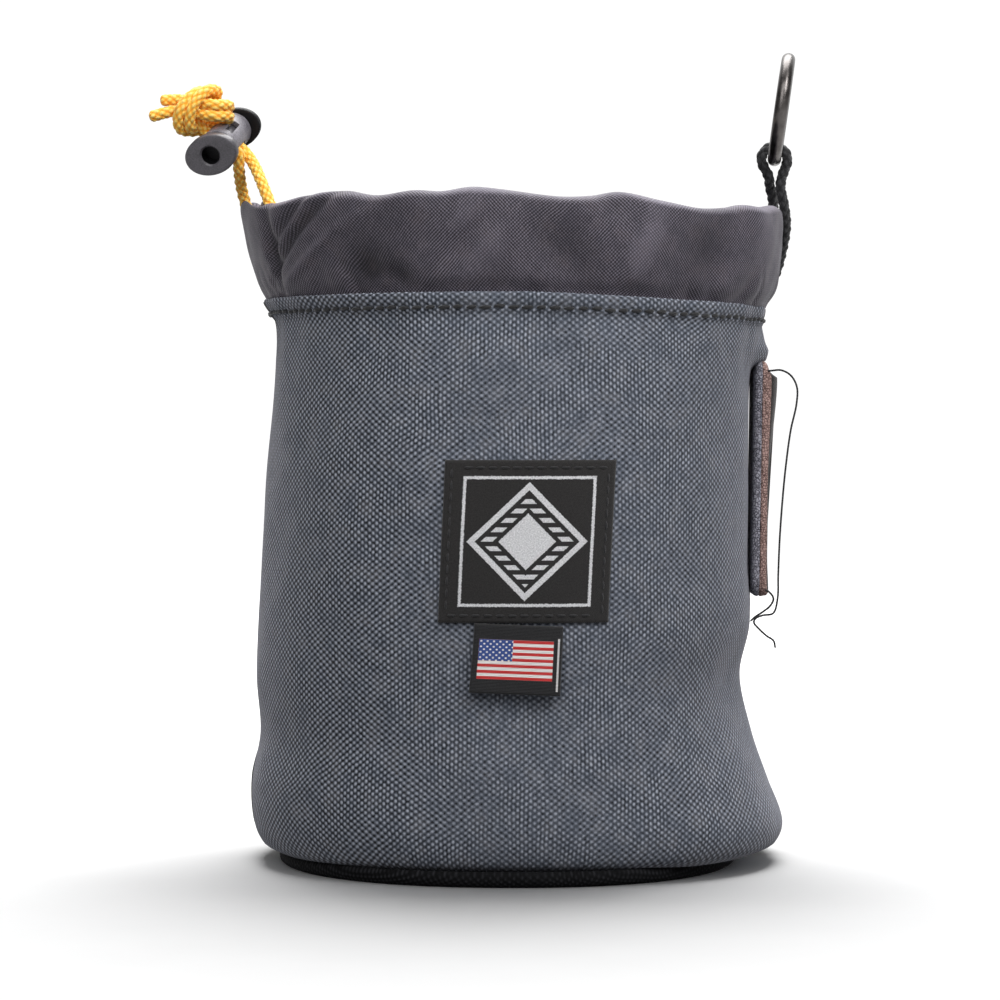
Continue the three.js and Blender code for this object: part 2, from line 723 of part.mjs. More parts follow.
function ring() {
  const middle = 0.5 * (RING.outside - RING.wire);
  const torus = new THREE.TorusGeometry(middle, 0.5 * RING.wire, 10, 32);
  torus.rotateY(90 * DEG).translate(0, 0, middle);
  return torus.rotateY(RING.lean * DEG).rotateZ(-RING.yaw * DEG).translate(...RING.seat.toArray());
}

function ringLoop() {
  const reach = 0.5 * (RING.wire + LOOP.diameter) + GAP;
  const round = [180, 135, 90, 45, 0].map((turn) => {
    const off = new THREE.Vector3(reach * Math.cos(turn * DEG), 0, reach * Math.sin(turn * DEG));
    return off.applyAxisAngle(new THREE.Vector3(0, 0, 1), -RING.yaw * DEG).add(RING.seat);
  });
  const leg = (rows) => rows.map((row) => polar(row.at, row.out, row.z));
  const route = [...leg(LOOP_LEG_BACK), ...round, ...leg(LOOP_LEG_FRONT).reverse()];
  return cordAlong(route, LOOP.diameter, LOOP.sides, LOOP.steps);
}

// Side tab

function tabLayer(layer) {
  const w = TAB.wide / 2;
  const h = (TAB.top - TAB.bottom) / 2;
  const r = TAB.corner;
  const shape = new THREE.Shape();
  shape.moveTo(-w + r, -h).lineTo(w - r, -h).absarc(w - r, -h + r, r, -90 * DEG, 0);
  shape.lineTo(w, h - r).absarc(w - r, h - r, r, 0, 90 * DEG);
  shape.lineTo(-w + r, h).absarc(-w + r, h - r, r, 90 * DEG, 180 * DEG);
  shape.lineTo(-w, -h + r).absarc(-w + r, -h + r, r, 180 * DEG, 270 * DEG);
  const depth = TAB.layer - (layer ? 0 : GAP);
  const plate = new THREE.ExtrudeGeometry(shape, { depth, bevelEnabled: false, curveSegments: 4 });
  plate.translate(0, 0, layer * TAB.layer).rotateX(90 * DEG).rotateZ(90 * DEG);
  return plate.rotateY(TAB.lean * DEG).translate(TAB.seat, 0, 0.5 * (TAB.bottom + TAB.top));
}

// Label and tag

// A small cloth patch over the front panel: rows from its bottom to its top, and how far it stands off there.
function patch(size, bottom, standOff) {
  const steps = (count) => Array.from({ length: count }, (_, i) => i / (count - 1));
  const grid = (face) =>
    steps(size.rows).map((t) => {
      const z = bottom + t * size.tall;
      const shift = Math.tan(size.lean * DEG) * size.tall * (t - 0.5);
      return steps(size.columns).map((s) => {
        const x = size.x + shift + (s - 0.5) * size.wide;
        const angle = Math.asin(x / bodyOut(0, z)) / DEG;
        return polar(angle, bodyOut(angle, z) + GAP + standOff(t) + face * size.thick, z);
      });
    });
  return sheet(grid(1), grid(0));
}

add("front_panel", panel(-SEAM, SEAM), greyCloth);
add("back_panel", panel(SEAM, 360 - SEAM), blackCloth);
add("base", base(), blackCloth);
add("collar", collar(), blackPackcloth);
add("drawstring", drawstring(CORD.diameter), orangeCord);
add("drawstring_knot", knot(), orangeCord);
add("lock_body", lockBody(), blackPlastic);
add("lock_plunger", lockPlunger(), blackPlastic);
add("ring", ring(), darkMetal);
add("ring_loop", ringLoop(), blackCord);
add("side_tab_inner", tabLayer(0), charcoalWebbing);
add("side_tab_outer", tabLayer(1), leather);
add("label", patch(LABEL, LABEL.z - LABEL.tall / 2, () => 0), wovenBlack);
add("flag_tag", patch(TAG, TAG.top - TAG.tall, (t) => TAG.standOff * (1 - t)), wovenTag);

export default pouch;
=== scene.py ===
import math
from types import SimpleNamespace

import bpy
import numpy as np
from mathutils import Matrix, Vector


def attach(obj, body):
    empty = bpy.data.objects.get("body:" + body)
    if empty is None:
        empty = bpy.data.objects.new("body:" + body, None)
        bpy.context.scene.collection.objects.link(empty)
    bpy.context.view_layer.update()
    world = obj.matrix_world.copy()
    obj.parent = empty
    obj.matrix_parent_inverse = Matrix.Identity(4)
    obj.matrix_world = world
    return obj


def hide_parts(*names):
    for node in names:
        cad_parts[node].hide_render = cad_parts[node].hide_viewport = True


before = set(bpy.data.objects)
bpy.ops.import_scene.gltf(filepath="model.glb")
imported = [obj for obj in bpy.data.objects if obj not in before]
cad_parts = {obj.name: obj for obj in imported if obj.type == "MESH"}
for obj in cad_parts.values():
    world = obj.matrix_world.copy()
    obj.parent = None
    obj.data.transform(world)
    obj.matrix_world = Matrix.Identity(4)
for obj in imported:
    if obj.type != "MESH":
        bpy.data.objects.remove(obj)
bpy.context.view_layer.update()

# Sizes are in millimetres and angles in degrees: 0 is the front, 90 the right and 180 the back.
MM = 0.001


def unit(way):
    """Directions of length one."""
    return np.asarray(way) / np.linalg.norm(way, axis=-1, keepdims=True)


# Half widths of the body by height: left, right, front and back.
BODY = np.array([
    (3.4, 71, 72.6, 70.6, 70.8),
    (6, 74.5, 77, 73.2, 73),
    (12, 77.2, 78.8, 75, 74.6),
    (24, 77.8, 74.6, 75.6, 75.2),
    (38, 75, 69.6, 75.6, 74.6),
    (54, 76, 66.6, 75.8, 74.2),
    (70, 75.5, 69.6, 76.2, 74.4),
    (88, 74.5, 68.9, 76.6, 74.8),
    (110, 73, 68.9, 76.4, 75),
    (138, 70.8, 69, 75.2, 74.3),
    (147, 70.2, 69.4, 74.4, 73.6),
    (152, 70, 70.4, 73.9, 73.2),
    (159, 70.6, 71.8, 73.2, 72.8),
    (165, 73.6, 73.2, 73.6, 73.4),
])
SQUARENESS = 2.2
# Folds of the body: angle, height, depth, width, height of the fold and lean.
BODY_FOLDS = np.array([
    (9, 149, 1.0, 5, 12, -0.6),
    (0, 128, 1.0, 14, 11, 0),
    (2, 50, 1.6, 14, 13, 0),
    (48, 146, -1.2, 14, 16, 0),
    (90, 149.6, -3.9, 12, 3.2, 0),
    (90, 154.5, -2.2, 14, 5, 0),
    (90, 147, -2.2, 10, 1.5, 0),
    (82, 112, 1.3, 4, 27, 0),
    (-38, 140, 1.2, 13, 16, 0.4),
    (60, 52, 2.0, 16, 16, 0.3),
    (-60, 100, 0.9, 15, 22, 0),
    (146, 66, 2.2, 17, 30, 0.2),
    (208, 112, 2.0, 18, 26, -0.2),
    (176, 146, 1.2, 12, 14, 0.5),
])
CLOTH = 1.6
GAP = 0.35
SEAM = 92
HEM_LINE = 165
HEM_REACH = 25
HEM_STEP = 0.7
HEM_TOP = np.array([(-90, 164.2), (0, 165), (20, 164.1), (45, 162.8), (90, 162.2), (180, 165)])
BASE = dict(left=69.4, right=65, front=76, back=74)

# Half widths of the collar by its share of height, and its thickness there.
COLLAR = np.array([
    (0, 74.4, 75.2, 74.2, 74.2, 3.8),
    (0.25, 76.2, 77.2, 75.6, 75.4, 4.4),
    (0.54, 78.5, 78.2, 77, 76.8, 5.8),
    (0.78, 80, 78.6, 77.6, 77.4, 6.8),
    (0.92, 80.4, 78.4, 77.4, 77, 6.2),
    (1, 79.6, 78, 76.6, 76.4, 5.4),
])
COLLAR_THICK = 5
RIM = np.array([
    (-160, 191.6), (-125, 193.6), (-98, 192.4), (-85, 193.6), (-77, 194), (-70, 192.4),
    (-63, 191.2), (-56.5, 191.3), (-47.6, 192.8), (-38, 193.4), (-30.5, 191.9), (-22, 193.1),
    (-16, 192.7), (-9.4, 193.8), (-3, 193.1), (9, 191.2), (16, 191.4), (22.4, 192.6),
    (31, 190.6), (41.5, 188.8), (50, 189.2), (55.7, 190.3), (64, 190.2), (76, 191.4),
    (85, 191.6), (95, 190.8), (118, 193), (145, 191), (172, 193.4),
])
# Folds of the collar: angle, share of height, depth, width, height of the fold and lean.
# On the outside, their depth also darkens the collar's colour as painted shade, and a negative depth
# lightens it as painted highlight.
COLLAR_FOLDS = np.array([
    (-61.6, 0.5, 2.8, 2.2, 0.46, 1),
    (-53, 0.8, 2.0, 2.0, 0.36, 27),
    (-51.2, 0.62, 2.6, 2.3, 0.42, 31),
    (-46, 0.43, -1.3, 2.0, 0.4, 35),
    (-33, 0.24, 2.5, 4.0, 0.17, 0),
    (-25, 0.16, 1.8, 3.0, 0.12, -12),
    (-29, 0.55, 1.5, 12, 0.7, 6),
    (-8, 0.6, -1.0, 9, 0.6, 4),
    (-9, 0.55, 1.0, 3.2, 0.3, 18),
    (10, 0.5, 2.0, 8, 0.5, -14),
    (21, 0.86, 1.1, 4, 0.2, -10),
    (27, 0.5, -1.1, 5, 0.5, 6),
    (43, 0.55, 2.1, 8, 0.5, 8),
    (62, 0.7, -0.9, 6, 0.4, 0),
    (112, 0.6, 1.8, 8, 0.5, 6),
    (150, 0.5, 2, 9, 0.5, -8),
    (188, 0.6, 1.8, 8, 0.5, 8),
    (226, 0.55, 2.2, 9, 0.5, -8),
    (256, 0.6, 1.6, 6, 0.45, 6),
])
# The slit in the collar's rim where both strands come out: its ends, how fast it opens, its depth.
SLIT = SimpleNamespace(left=-89, right=-63.5, fade=3.0, depth=0.27)

CORD = 3.2
CORD_UP = 0.76
LOCK_MIDDLE = np.array([-84, -22, 210])
BARREL_WAY = unit([0.249, 0.883, 0.399])
CORD_WAY = unit([-0.826, -0.02, 0.561])
LOCK_BASIS = np.stack([CORD_WAY, unit(np.cross(BARREL_WAY, CORD_WAY)), BARREL_WAY])
LOCK = SimpleNamespace(
    barrel=10.4, bore=7.7, stem=7, flange_long=16.2, flange_short=11.8, flange_turn=124,
    near_face=-13.2, near_flange=3.2, barrel_near=-6.2, barrel_far=9.2, far_face=11.2, bore_end=9.4,
    stem_end=5.4, slot_wide=4, slot_near=-3.6, slot_far=3.8, stem_slot_near=-7.1,
    face_hole=5.4, face_hole_deep=4, window_wide=2.2, window_near=-3.6, window_far=3.6,
)
STRAND_OFFSET = 1.7
RIGHT_STRAND = [(-69.8, -30.2, 189.4), (-72.9, -26.4, 197.4), (-75.9, -21.8, 203.6)]
LEFT_STRAND = [(-77.3, -9.8, 188.2), (-79.4, -15.2, 196), (-79.9, -21.6, 202.5)]
KNOT_MIDDLE = np.array([-91.9, -24.6, 218.7])
# The doubled cord through the knot: right, towards the front and up from its middle, and half the
# way from one strand to the other at that place.
KNOT_RUN = [
    ((0.6, -2.2, -3.0), (0.4, -1.5, 0.7)),
    ((2.4, -4.2, 0.8), (1.2, -0.8, 0.6)),
    ((4.4, -1.6, 4.9), (1.5, -0.2, 0.2)),
    ((1.4, 3.4, 4.6), (1.5, 0.3, 0.3)),
    ((-2.6, 5.0, -0.4), (1.55, 0.1, 0.0)),
    ((-3.0, 1.8, -5.4), (1.5, 0.0, 0.1)),
    ((1.8, -3.4, -4.6), (0.6, -0.8, 1.2)),
    ((7.0, -3.2, -2.6), (-0.2, -0.6, 1.4)),
    ((9.4, 0.2, -0.6), (0.0, 0.0, 1.55)),
    ((5.6, 4.0, -0.6), (0.1, 0.1, 1.55)),
    ((0.8, 2.2, 0.2), (0.0, -0.3, 1.5)),
    ((-4.6, 0.4, 1.2), (0.2, -0.3, 1.5)),
]
UPPER_TAIL = [(-99.9, -24.2, 221.4), (-102.3, -24.4, 221.2)]
LOWER_TAIL = [(-101.1, -26.2, 217.5), (-105.3, -26.2, 216.3)]

RING = SimpleNamespace(outside=33.5, wire=4, lean=8, yaw=4)
RING_SEAT = np.array([76.4, 0, 205.8])
LOOP = 2.9
# Yarns of a braid: how many go each way, the length of a turn and the depth of their relief.
STRAND_YARNS = (5, 13.0, 0.5)
CHANNEL_YARNS = (6, 14.0, 0.3)
LOOP_YARNS = (4, 12.0, 0.5)
THREAD_YARNS = (2, 2.0, 0.05)
# Legs of the ring's loop: angle, distance from the axis and height.
LOOP_LEG_FRONT = [
    (104, 73.4, 162.6), (103.5, 76.2, 166.2), (101, 79, 172), (97.5, 80.3, 180), (94.6, 80.6, 187),
    (92, 79.4, 193), (90.6, 78.3, 197.6), (90.3, 78.6, 200.4),
]
LOOP_LEG_BACK = [
    (113, 73.2, 162.8), (112.5, 76.4, 166.6), (111.5, 78.6, 173), (109, 79.6, 182), (103, 79.2, 189.4),
    (95.6, 76.8, 194.6), (93.4, 75.5, 198.4), (91.4, 74.9, 200.8),
]
TAB = SimpleNamespace(
    bottom=77.5, top=146.5, wide=24, corner=4, seat=70.1, lean=0.8, swell=2.5, seen=3.0, crest=1.6, arch=2.5,
)
LABEL = SimpleNamespace(wide=46.5, tall=45, x=3, z=96, thick=0.8, lean=2.6)
TAG = SimpleNamespace(wide=24, tall=19.2, x=0.8, top=73, thick=1.4, stand_off=1.7, lean=3.6)


# Tables and shapes


def smooth(rows, column, place):
    """A column of a table at a place on its first column, on a cubic through the rows."""
    keys, values = rows[:, 0], rows[:, column]
    low = np.maximum(np.arange(len(keys)) - 1, 0)
    high = np.minimum(np.arange(len(keys)) + 1, len(keys) - 1)
    slopes = (values[high] - values[low]) / (keys[high] - keys[low])
    place = np.clip(place, keys[0], keys[-1])
    i = np.clip(np.searchsorted(keys, place, side="right") - 1, 0, len(keys) - 2)
    gap = keys[i + 1] - keys[i]
    t = (place - keys[i]) / gap
    start = (2 * t**3 - 3 * t**2 + 1) * values[i] + (t**3 - 2 * t**2 + t) * gap * slopes[i]
    end = (3 * t**2 - 2 * t**3) * values[i + 1] + (t**3 - t**2) * gap * slopes[i + 1]
    return start + end


def smooth_round(rows, angle):
    """A table by angle, all the way round."""
    turns = [rows + np.array([360 * n, 0]) for n in (-1, 0, 1)]
    return smooth(np.concatenate(turns), 1, wrapped(np.asarray(angle, float)))


def ease(t):
    t = np.clip(t, 0, 1)
    return t * t * (3 - 2 * t)


def wrapped(angle):
    return (angle + 180) % 360 - 180


def dent(folds, angle, height):
    total = 0.0
    for at, place, depth, wide, tall, lean in folds:
        up = height - place
        across = wrapped(angle - at - lean * up)
        total = total + depth * np.exp(-((across / wide) ** 2) - (up / tall) ** 2)
    return total


def outline(left, right, front, back, angle):
    across, along = np.sin(np.radians(angle)), np.cos(np.radians(angle))
    side = np.where(across >= 0, right, left)
    face = np.where(along >= 0, front, back)
    n = SQUARENESS
    return ((np.abs(across) / side) ** n + (np.abs(along) / face) ** n) ** (-1 / n)


def body_out(angle, z):
    halves = [smooth(BODY, column, z) for column in (1, 2, 3, 4)]
    return outline(*halves, angle) - dent(BODY_FOLDS, angle, z)


def hem_top(angle):
    return smooth_round(HEM_TOP, angle)


def wall_height(angle, z):
    return z + (hem_top(angle) - HEM_LINE) * ease(1 + (z - HEM_LINE) / HEM_REACH)


def collar_out(angle, up):
    halves = [smooth(COLLAR, column, up) for column in (1, 2, 3, 4)]
    return outline(*halves, angle) - dent(COLLAR_FOLDS, angle, up)


def collar_height(angle, up):
    low = hem_top(angle)
    return low + up * (smooth_round(RIM, angle) - low)


def stacked(*parts):
    """Values side by side along a last axis."""
    return np.stack(np.broadcast_arrays(*parts), -1)


def polar(angle, out, z):
    turn = np.radians(angle)
    return stacked(out * np.sin(turn), -out * np.cos(turn), z)


# Meshes

PIECES = []


def grid_faces(numbers):
    corners = [numbers[:-1, :-1], numbers[:-1, 1:], numbers[1:, 1:], numbers[1:, :-1]]
    return np.stack(corners, -1).reshape(-1, 4)


def ring_faces(numbers):
    """Faces of a grid whose rows close on themselves."""
    return grid_faces(np.concatenate([numbers, numbers[:, :1]], 1))


def numbered(points):
    return np.arange(points[..., 0].size).reshape(points.shape[:2])


def lathe(points):
    """Points and faces of a grid of closed rows with a face over each end."""
    numbers = numbered(points)
    ends = [numbers[0, ::-1].tolist(), numbers[-1].tolist()]
    return points.reshape(-1, 3), ring_faces(numbers).tolist() + ends


def torus(points):
    """Points and faces of a grid that closes both ways."""
    numbers = numbered(points)
    return points.reshape(-1, 3), ring_faces(np.concatenate([numbers, numbers[:1]], 0))[:, ::-1]


def mesh_of(name, points, faces):
    mesh = bpy.data.meshes.new(name)
    mesh.from_pydata((np.asarray(points) * MM).tolist(), [], [list(f) for f in faces])
    return mesh


def linked(name, data):
    made = bpy.data.objects.new(name, data)
    bpy.context.scene.collection.objects.link(made)
    return made


def add(name, mesh, materials, body, nodes):
    """A mesh as a piece that rides a body and stands for CAD nodes."""
    mesh.shade_smooth()
    for one in materials:
        mesh.materials.append(one)
    made = linked(name, mesh)
    PIECES.append(made)
    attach(made, body)
    if nodes:
        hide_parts(*nodes)
    return made


def piece(name, points, faces, *materials, slot, body="pouch", nodes=(), marks=None):
    """A piece from points in millimetres, with the marks that its materials read."""
    mesh = mesh_of(name, points, faces)
    for key, values in (marks or {}).items():
        mark = mesh.attributes.new(key, "FLOAT_VECTOR", "POINT")
        mark.data.foreach_set("vector", np.asarray(values, np.float32).ravel())
    return add(name, mesh, materials, body, nodes)


def cloth_sheet(name, outer, inner, cloth, material, slot, node, flat, held, rests):
    """A closed sheet between two grids, whose rows go up and columns to the right."""
    numbers = numbered(outer)
    count = numbers.size
    ring = np.concatenate([
        numbers[0, :-1], numbers[:-1, -1], numbers[-1, :0:-1], numbers[:0:-1, 0],
    ])
    after = np.roll(ring, -1)
    edge = np.stack([after, ring, ring + count, after + count], -1)
    faces = np.concatenate([grid_faces(numbers), grid_faces(numbers + count)[:, ::-1], edge])
    points = np.concatenate([outer.reshape(-1, 3), inner.reshape(-1, 3)])
    marks = {"cloth": np.concatenate([cloth.reshape(-1, 3)] * 2)}
    made = piece(name, points, faces, material, slot=slot, nodes=[node], marks=marks)


def run_length(path):
    """Length along a path up to each of its points."""
    return np.concatenate([[0], np.cumsum(np.linalg.norm(np.diff(path, axis=0), axis=1))])


def spline(points, step):
    """Points evenly spaced along a smooth curve through some points."""
    points = np.asarray(points, float)
    ends = np.array([2 * points[0] - points[1], *points, 2 * points[-1] - points[-2]])
    fine = []
    for a, b, c, d in zip(ends, ends[1:], ends[2:], ends[3:]):
        knots = np.cumsum([0, *(np.linalg.norm(q - p) ** 0.5 for p, q in ((a, b), (b, c), (c, d)))])
        t = np.linspace(knots[1], knots[2], 24, endpoint=False)[:, None]

        def blend(p, q, i, j):
            share = (t - knots[i]) / (knots[j] - knots[i])
            return (1 - share) * p + share * q

        ab, bc, cd = blend(a, b, 0, 1), blend(b, c, 1, 2), blend(c, d, 2, 3)
        fine.append(blend(blend(ab, bc, 0, 2), blend(bc, cd, 1, 3), 1, 2))
    fine = np.concatenate([*fine, points[-1:]])
    length = run_length(fine)
    places = np.linspace(0, length[-1], max(4, int(length[-1] / step) + 1))
    return np.stack([np.interp(places, length, fine[:, k]) for k in range(3)], -1)


def carried_frames(path):
    """Two directions across a path at each point, carried along it without twist."""
    ways = unit(np.gradient(path, axis=0))
    across = [unit(np.cross(ways[0], [0.3, 0.2, 0.93]))]
    for way in ways[1:]:
        across.append(unit(across[-1] - way * (across[-1] @ way)))
    across = np.array(across)
    return across, np.cross(ways, across)


def braid(turn, along, carriers, lay):
    """Height of a braid's yarns from 0 to 1 round and along a cord."""
    p = carriers * (turn + along / lay)
    q = carriers * (turn - along / lay)
    over = (np.floor(p) + np.floor(q)) % 2 == 0
    across = np.where(over, p, q) % 1
    onward = np.where(over, q, p) % 1
    return np.sin(np.pi * across) ** 0.7 * (0.45 + 0.55 * np.sin(np.pi * onward))


def braided(name, path, diameter, yarns, material, sides, **facts):
    """A braided cord along a path of close points, with closed ends."""
    carriers, lay, depth = yarns
    across, aside = carried_frames(path)
    along = run_length(path)
    turn = np.arange(sides) / sides
    height = braid(turn[None, :], along[:, None], carriers, lay)
    radius = 0.5 * diameter + depth * (height - 0.6)
    to_end = np.minimum(along, along[-1] - along)[:, None]
    tip = 0.35 * diameter
    radius = radius * np.sqrt(np.clip(1 - (1 - np.minimum(to_end / tip, 1)) ** 2 * 0.85, 0, 1))
    spin = 2 * np.pi * turn
    ways = across[:, None] * np.cos(spin)[None, :, None] + aside[:, None] * np.sin(spin)[None, :, None]
    rings = path[:, None] + radius[..., None] * ways
    numbers = numbered(rings)
    count = numbers.size
    faces = ring_faces(numbers).tolist()
    for end, order in ((0, -1), (len(path) - 1, 1)):
        pairs = zip(numbers[end], np.roll(numbers[end], -1))
        faces += [[count + (end > 0), *pair][::order] for pair in pairs]
    points = np.concatenate([rings.reshape(-1, 3), path[:1], path[-1:]])
    marks = stacked(height, turn[None, :], along[:, None]).reshape(-1, 3)
    marks = np.concatenate([marks, [[0.2, 0, 0], [0.2, 0, along[-1]]]])
    return piece(name, points, faces, material, marks={"braid": marks}, **facts)


def free_cord(name, path, diameter, yarns, material, sides, far_end, lay, **facts):
    """A braided cord."""
    made = braided(name, path, diameter, yarns, material, sides, **facts)


def stitches(name, starts, ends, ways, radius, rise, slot):
    """Short threads, each of which dips into the cloth at its ends."""
    steps, sides = 7, 6
    t = np.linspace(0, 1, steps)[:, None]
    arch = np.sin(np.pi * t)
    spin = 2 * np.pi * np.arange(sides)[:, None] / sides
    points, faces = [], []
    for start, end, way in zip(starts, ends, ways):
        line = start + t * (end - start) + way * (rise * (2 * arch - 1))
        ring = np.cross(unit(end - start), way) * np.cos(spin) + way * np.sin(spin)
        rings = line[:, None] + radius * (0.5 + 0.5 * arch)[..., None] * ring
        numbers = len(points) * steps * sides + numbered(rings)
        caps = [numbers[0].tolist(), numbers[-1, ::-1].tolist()]
        faces += ring_faces(numbers)[:, ::-1].tolist() + caps
        points.append(rings.reshape(-1, 3))
    points = np.concatenate(points)
    marks = stacked(0.6, 0.1 * points[:, 0], points[:, 2])
    piece(name, points, faces, BLACK_THREAD, slot=slot, marks={"braid": marks})


# Materials


class Shader:
    """A material and short ways to add nodes to it."""

    def __init__(self, name, roughness, **inputs):
        self.material = bpy.data.materials.new(name)
        self.material.use_nodes = True
        self.tree = self.material.node_tree
        self.surface = self.tree.nodes["Principled BSDF"]
        self.set("Roughness", roughness)
        for key, value in inputs.items():
            self.set(key.replace("_", " "), value)

    def set(self, name, value):
        self.put(self.surface.inputs[name], value)

    def put(self, socket, value):
        if isinstance(value, bpy.types.NodeSocket):
            self.tree.links.new(value, socket)
        else:
            socket.default_value = value

    def node(self, kind, values=(), **settings):
        """A node with values on its inputs, in order or by their keys."""
        made = self.tree.nodes.new("ShaderNode" + kind)
        for key, value in settings.items():
            setattr(made, key, value)
        for key, value in values.items() if isinstance(values, dict) else enumerate(values):
            self.put(made.inputs[key], value)
        return made

    def math(self, operation, *values):
        return self.node("Math", values, operation=operation).outputs[0]

    def times(self, a, b):
        return self.math("MULTIPLY", a, b)

    def plus(self, a, b):
        return self.math("ADD", a, b)

    def minus(self, a, b):
        return self.math("SUBTRACT", a, b)

    def wave(self, value, period):
        return self.math("SINE", self.times(value, 2 * math.pi / period))

    def mix(self, factor, a, b):
        return self.node("Mix", {0: factor, 6: a, 7: b}, data_type="RGBA").outputs[2]

    def span(self, value, low, high, to_low=0.0, to_high=1.0):
        return self.node("MapRange", (value, low, high, to_low, to_high)).outputs[0]

    def band(self, value, low, high, soft):
        """One between two limits, with soft edges."""
        up = self.span(value, low - soft, low + soft)
        return self.times(up, self.span(value, high + soft, high - soft))

    def mark(self, name):
        read = self.node("Attribute", attribute_name=name)
        return self.node("SeparateXYZ", [read.outputs["Vector"]]).outputs

    def place(self):
        return self.node("TexCoord").outputs["Object"]

    def noise(self, vector, scale, detail=2.0, roughness=0.5):
        values = {"Vector": vector, "Scale": scale, "Detail": detail, "Roughness": roughness}
        return self.node("TexNoise", values).outputs["Fac"]

    def vector(self, x, y, z=0.0):
        return self.node("CombineXYZ", (x, y, z)).outputs[0]

    def bump(self, height, distance):
        self.set("Normal", self.node("Bump", {"Height": height, "Distance": distance}).outputs[0])


def colour(red, green, blue):
    """A colour given as on a screen, from 0 to 255, in linear light."""
    parts = [c / 255 for c in (red, green, blue)]
    return (*(c / 12.92 if c <= 0.04045 else ((c + 0.055) / 1.055) ** 2.4 for c in parts), 1.0)


def woven(
    name, pitch, light, middle, dark, roughness=0.85, sheen=0.1, relief=0.2, tint=0.4, grain=1.0, shine=0.2,
    twill=False,
):
    """Plain weave or twill over the mark "cloth": pitch is across and up, and the tones go by height, as
    painted shade in the gaps and painted highlight on the yarns' crowns; the mark's third value paints shade
    in the collar's folds and highlight on its bulges and rim.
    """
    made = Shader(name, roughness, Sheen_Weight=sheen, Sheen_Roughness=0.5, Specular_IOR_Level=shine)
    made.set("Sheen Tint", (0.95, 0.92, 1.0, 1.0))
    u, v, painted_fold_shading = made.mark("cloth")
    flat = made.vector(u, v)
    drift = made.times(made.minus(made.noise(flat, 0.07, 2.0), 0.5), 1.4)
    across = made.times(made.plus(u, drift), math.pi / pitch[0])
    up = made.times(made.minus(v, drift), math.pi / pitch[1])
    rising = made.math("COSINE", made.minus(across, up))
    falling = made.math("COSINE", made.plus(across, up))
    fibre = made.noise(flat, 1.5 / pitch[0], 3.0, 0.65)
    patchy = made.noise(flat, 0.16, 3.0, 0.6)
    spread = 0.3 if twill else 0.09
    share = made.span(made.noise(flat, 0.045, 2.0), 0.35, 0.65, 0.5 - spread, 0.5 + spread)
    over = made.span(share, 0.0, 1.0, made.times(falling, -1.0), rising)
    if twill:
        height = made.times(over, 0.36)
    else:
        columns = made.math("COSINE", made.times(across, 2.0))
        ribs = made.span(made.noise(flat, 0.06, 2.0), 0.4, 0.6, 0.0, 1.0)
        # How strongly the yarns stand out, in the bump and in their painted shade and highlight: most
        # towards the left, least in the middle.
        strength = made.plus(made.span(u, -56.0, -8.0, 0.52, 0.28), made.span(u, 20.0, 60.0, 0.0, 0.1))
        height = made.times(over, strength)
        height = made.math("MULTIPLY_ADD", columns, made.times(ribs, -0.16), height)
    slub = made.noise(made.vector(u, made.times(v, 0.2)), 0.9 / pitch[0], 2.0, 0.6)
    level = made.plus(height, 0.48)
    for part, amount in ((fibre, 0.7), (patchy, 0.25), (slub, 0.35)):
        level = made.math("MULTIPLY_ADD", made.minus(part, 0.5), amount * grain, level)
    # Tones by yarn height: the dark tone in the gaps is painted shade, the light tone on the crowns painted
    # highlight.
    tone = made.mix(made.span(level, 0.12, 0.5), dark, middle)
    tone = made.mix(made.span(level, 0.5, 1.0), tone, light)
    # The mark's third value as painted shade and highlight: darker where the collar's folds dent in, lighter
    # where they bulge out and at the rim.
    tone = made.mix(made.span(painted_fold_shading, 0.5, 3.2, 0.0, 0.7), tone, dark)
    tone = made.mix(made.span(painted_fold_shading, -0.3, -1.4, 0.0, 0.3), tone, light)
    for low, high, shift in ((0.52, 0.66, (1.25, 1.06, 0.86)), (0.48, 0.36, (0.92, 0.99, 1.06))):
        other = tuple(c * f for c, f in zip(middle, shift)) + (1.0,)
        tone = made.mix(made.span(patchy, low, high, 0.0, tint), tone, made.mix(0.55, tone, other))
    made.set("Base Color", tone)
    made.bump(made.math("MULTIPLY_ADD", fibre, 0.4, height), relief * MM)
    return made.material


def corded(name, crown, middle, valley, roughness=0.65, sheen=0.2):
    """Braided cord over the mark "braid": yarn height, turn and length."""
    made = Shader(name, roughness, Sheen_Weight=sheen, Specular_IOR_Level=0.3)
    height, turn, along = made.mark("braid")
    flat = made.vector(made.times(turn, 9.0), along)
    fibre = made.noise(flat, 2.6, 3.0, 0.7)
    shade = made.noise(flat, 0.22, 2.0)
    level = made.plus(height, made.times(made.minus(fibre, 0.5), 0.6))
    # Tones by yarn height: the valley colour between yarns is painted shade, the crown colour painted
    # highlight.
    tone = made.mix(made.span(level, 0.05, 0.5), valley, middle)
    tone = made.mix(made.span(level, 0.45, 1.0), tone, crown)
    made.set("Base Color", made.mix(made.span(shade, 0.7, 0.3, 0.0, 0.45), tone, middle))
    made.bump(fibre, 0.12 * MM)
    return made.material


def moulded(name, light, dark, roughness=0.42, shine=0.5):
    made = Shader(name, roughness, Specular_IOR_Level=shine)
    place = made.place()
    fine = made.noise(place, 2600.0, 2.0)
    broad = made.noise(place, 160.0, 3.0, 0.6)
    speck = made.plus(made.times(broad, 0.5), made.times(fine, 0.5))
    made.set("Base Color", made.mix(made.span(speck, 0.38, 0.62), dark, light))
    made.set("Roughness", made.span(broad, 0.3, 0.7, roughness - 0.06, roughness + 0.1))
    made.bump(fine, 0.02 * MM)
    return made.material


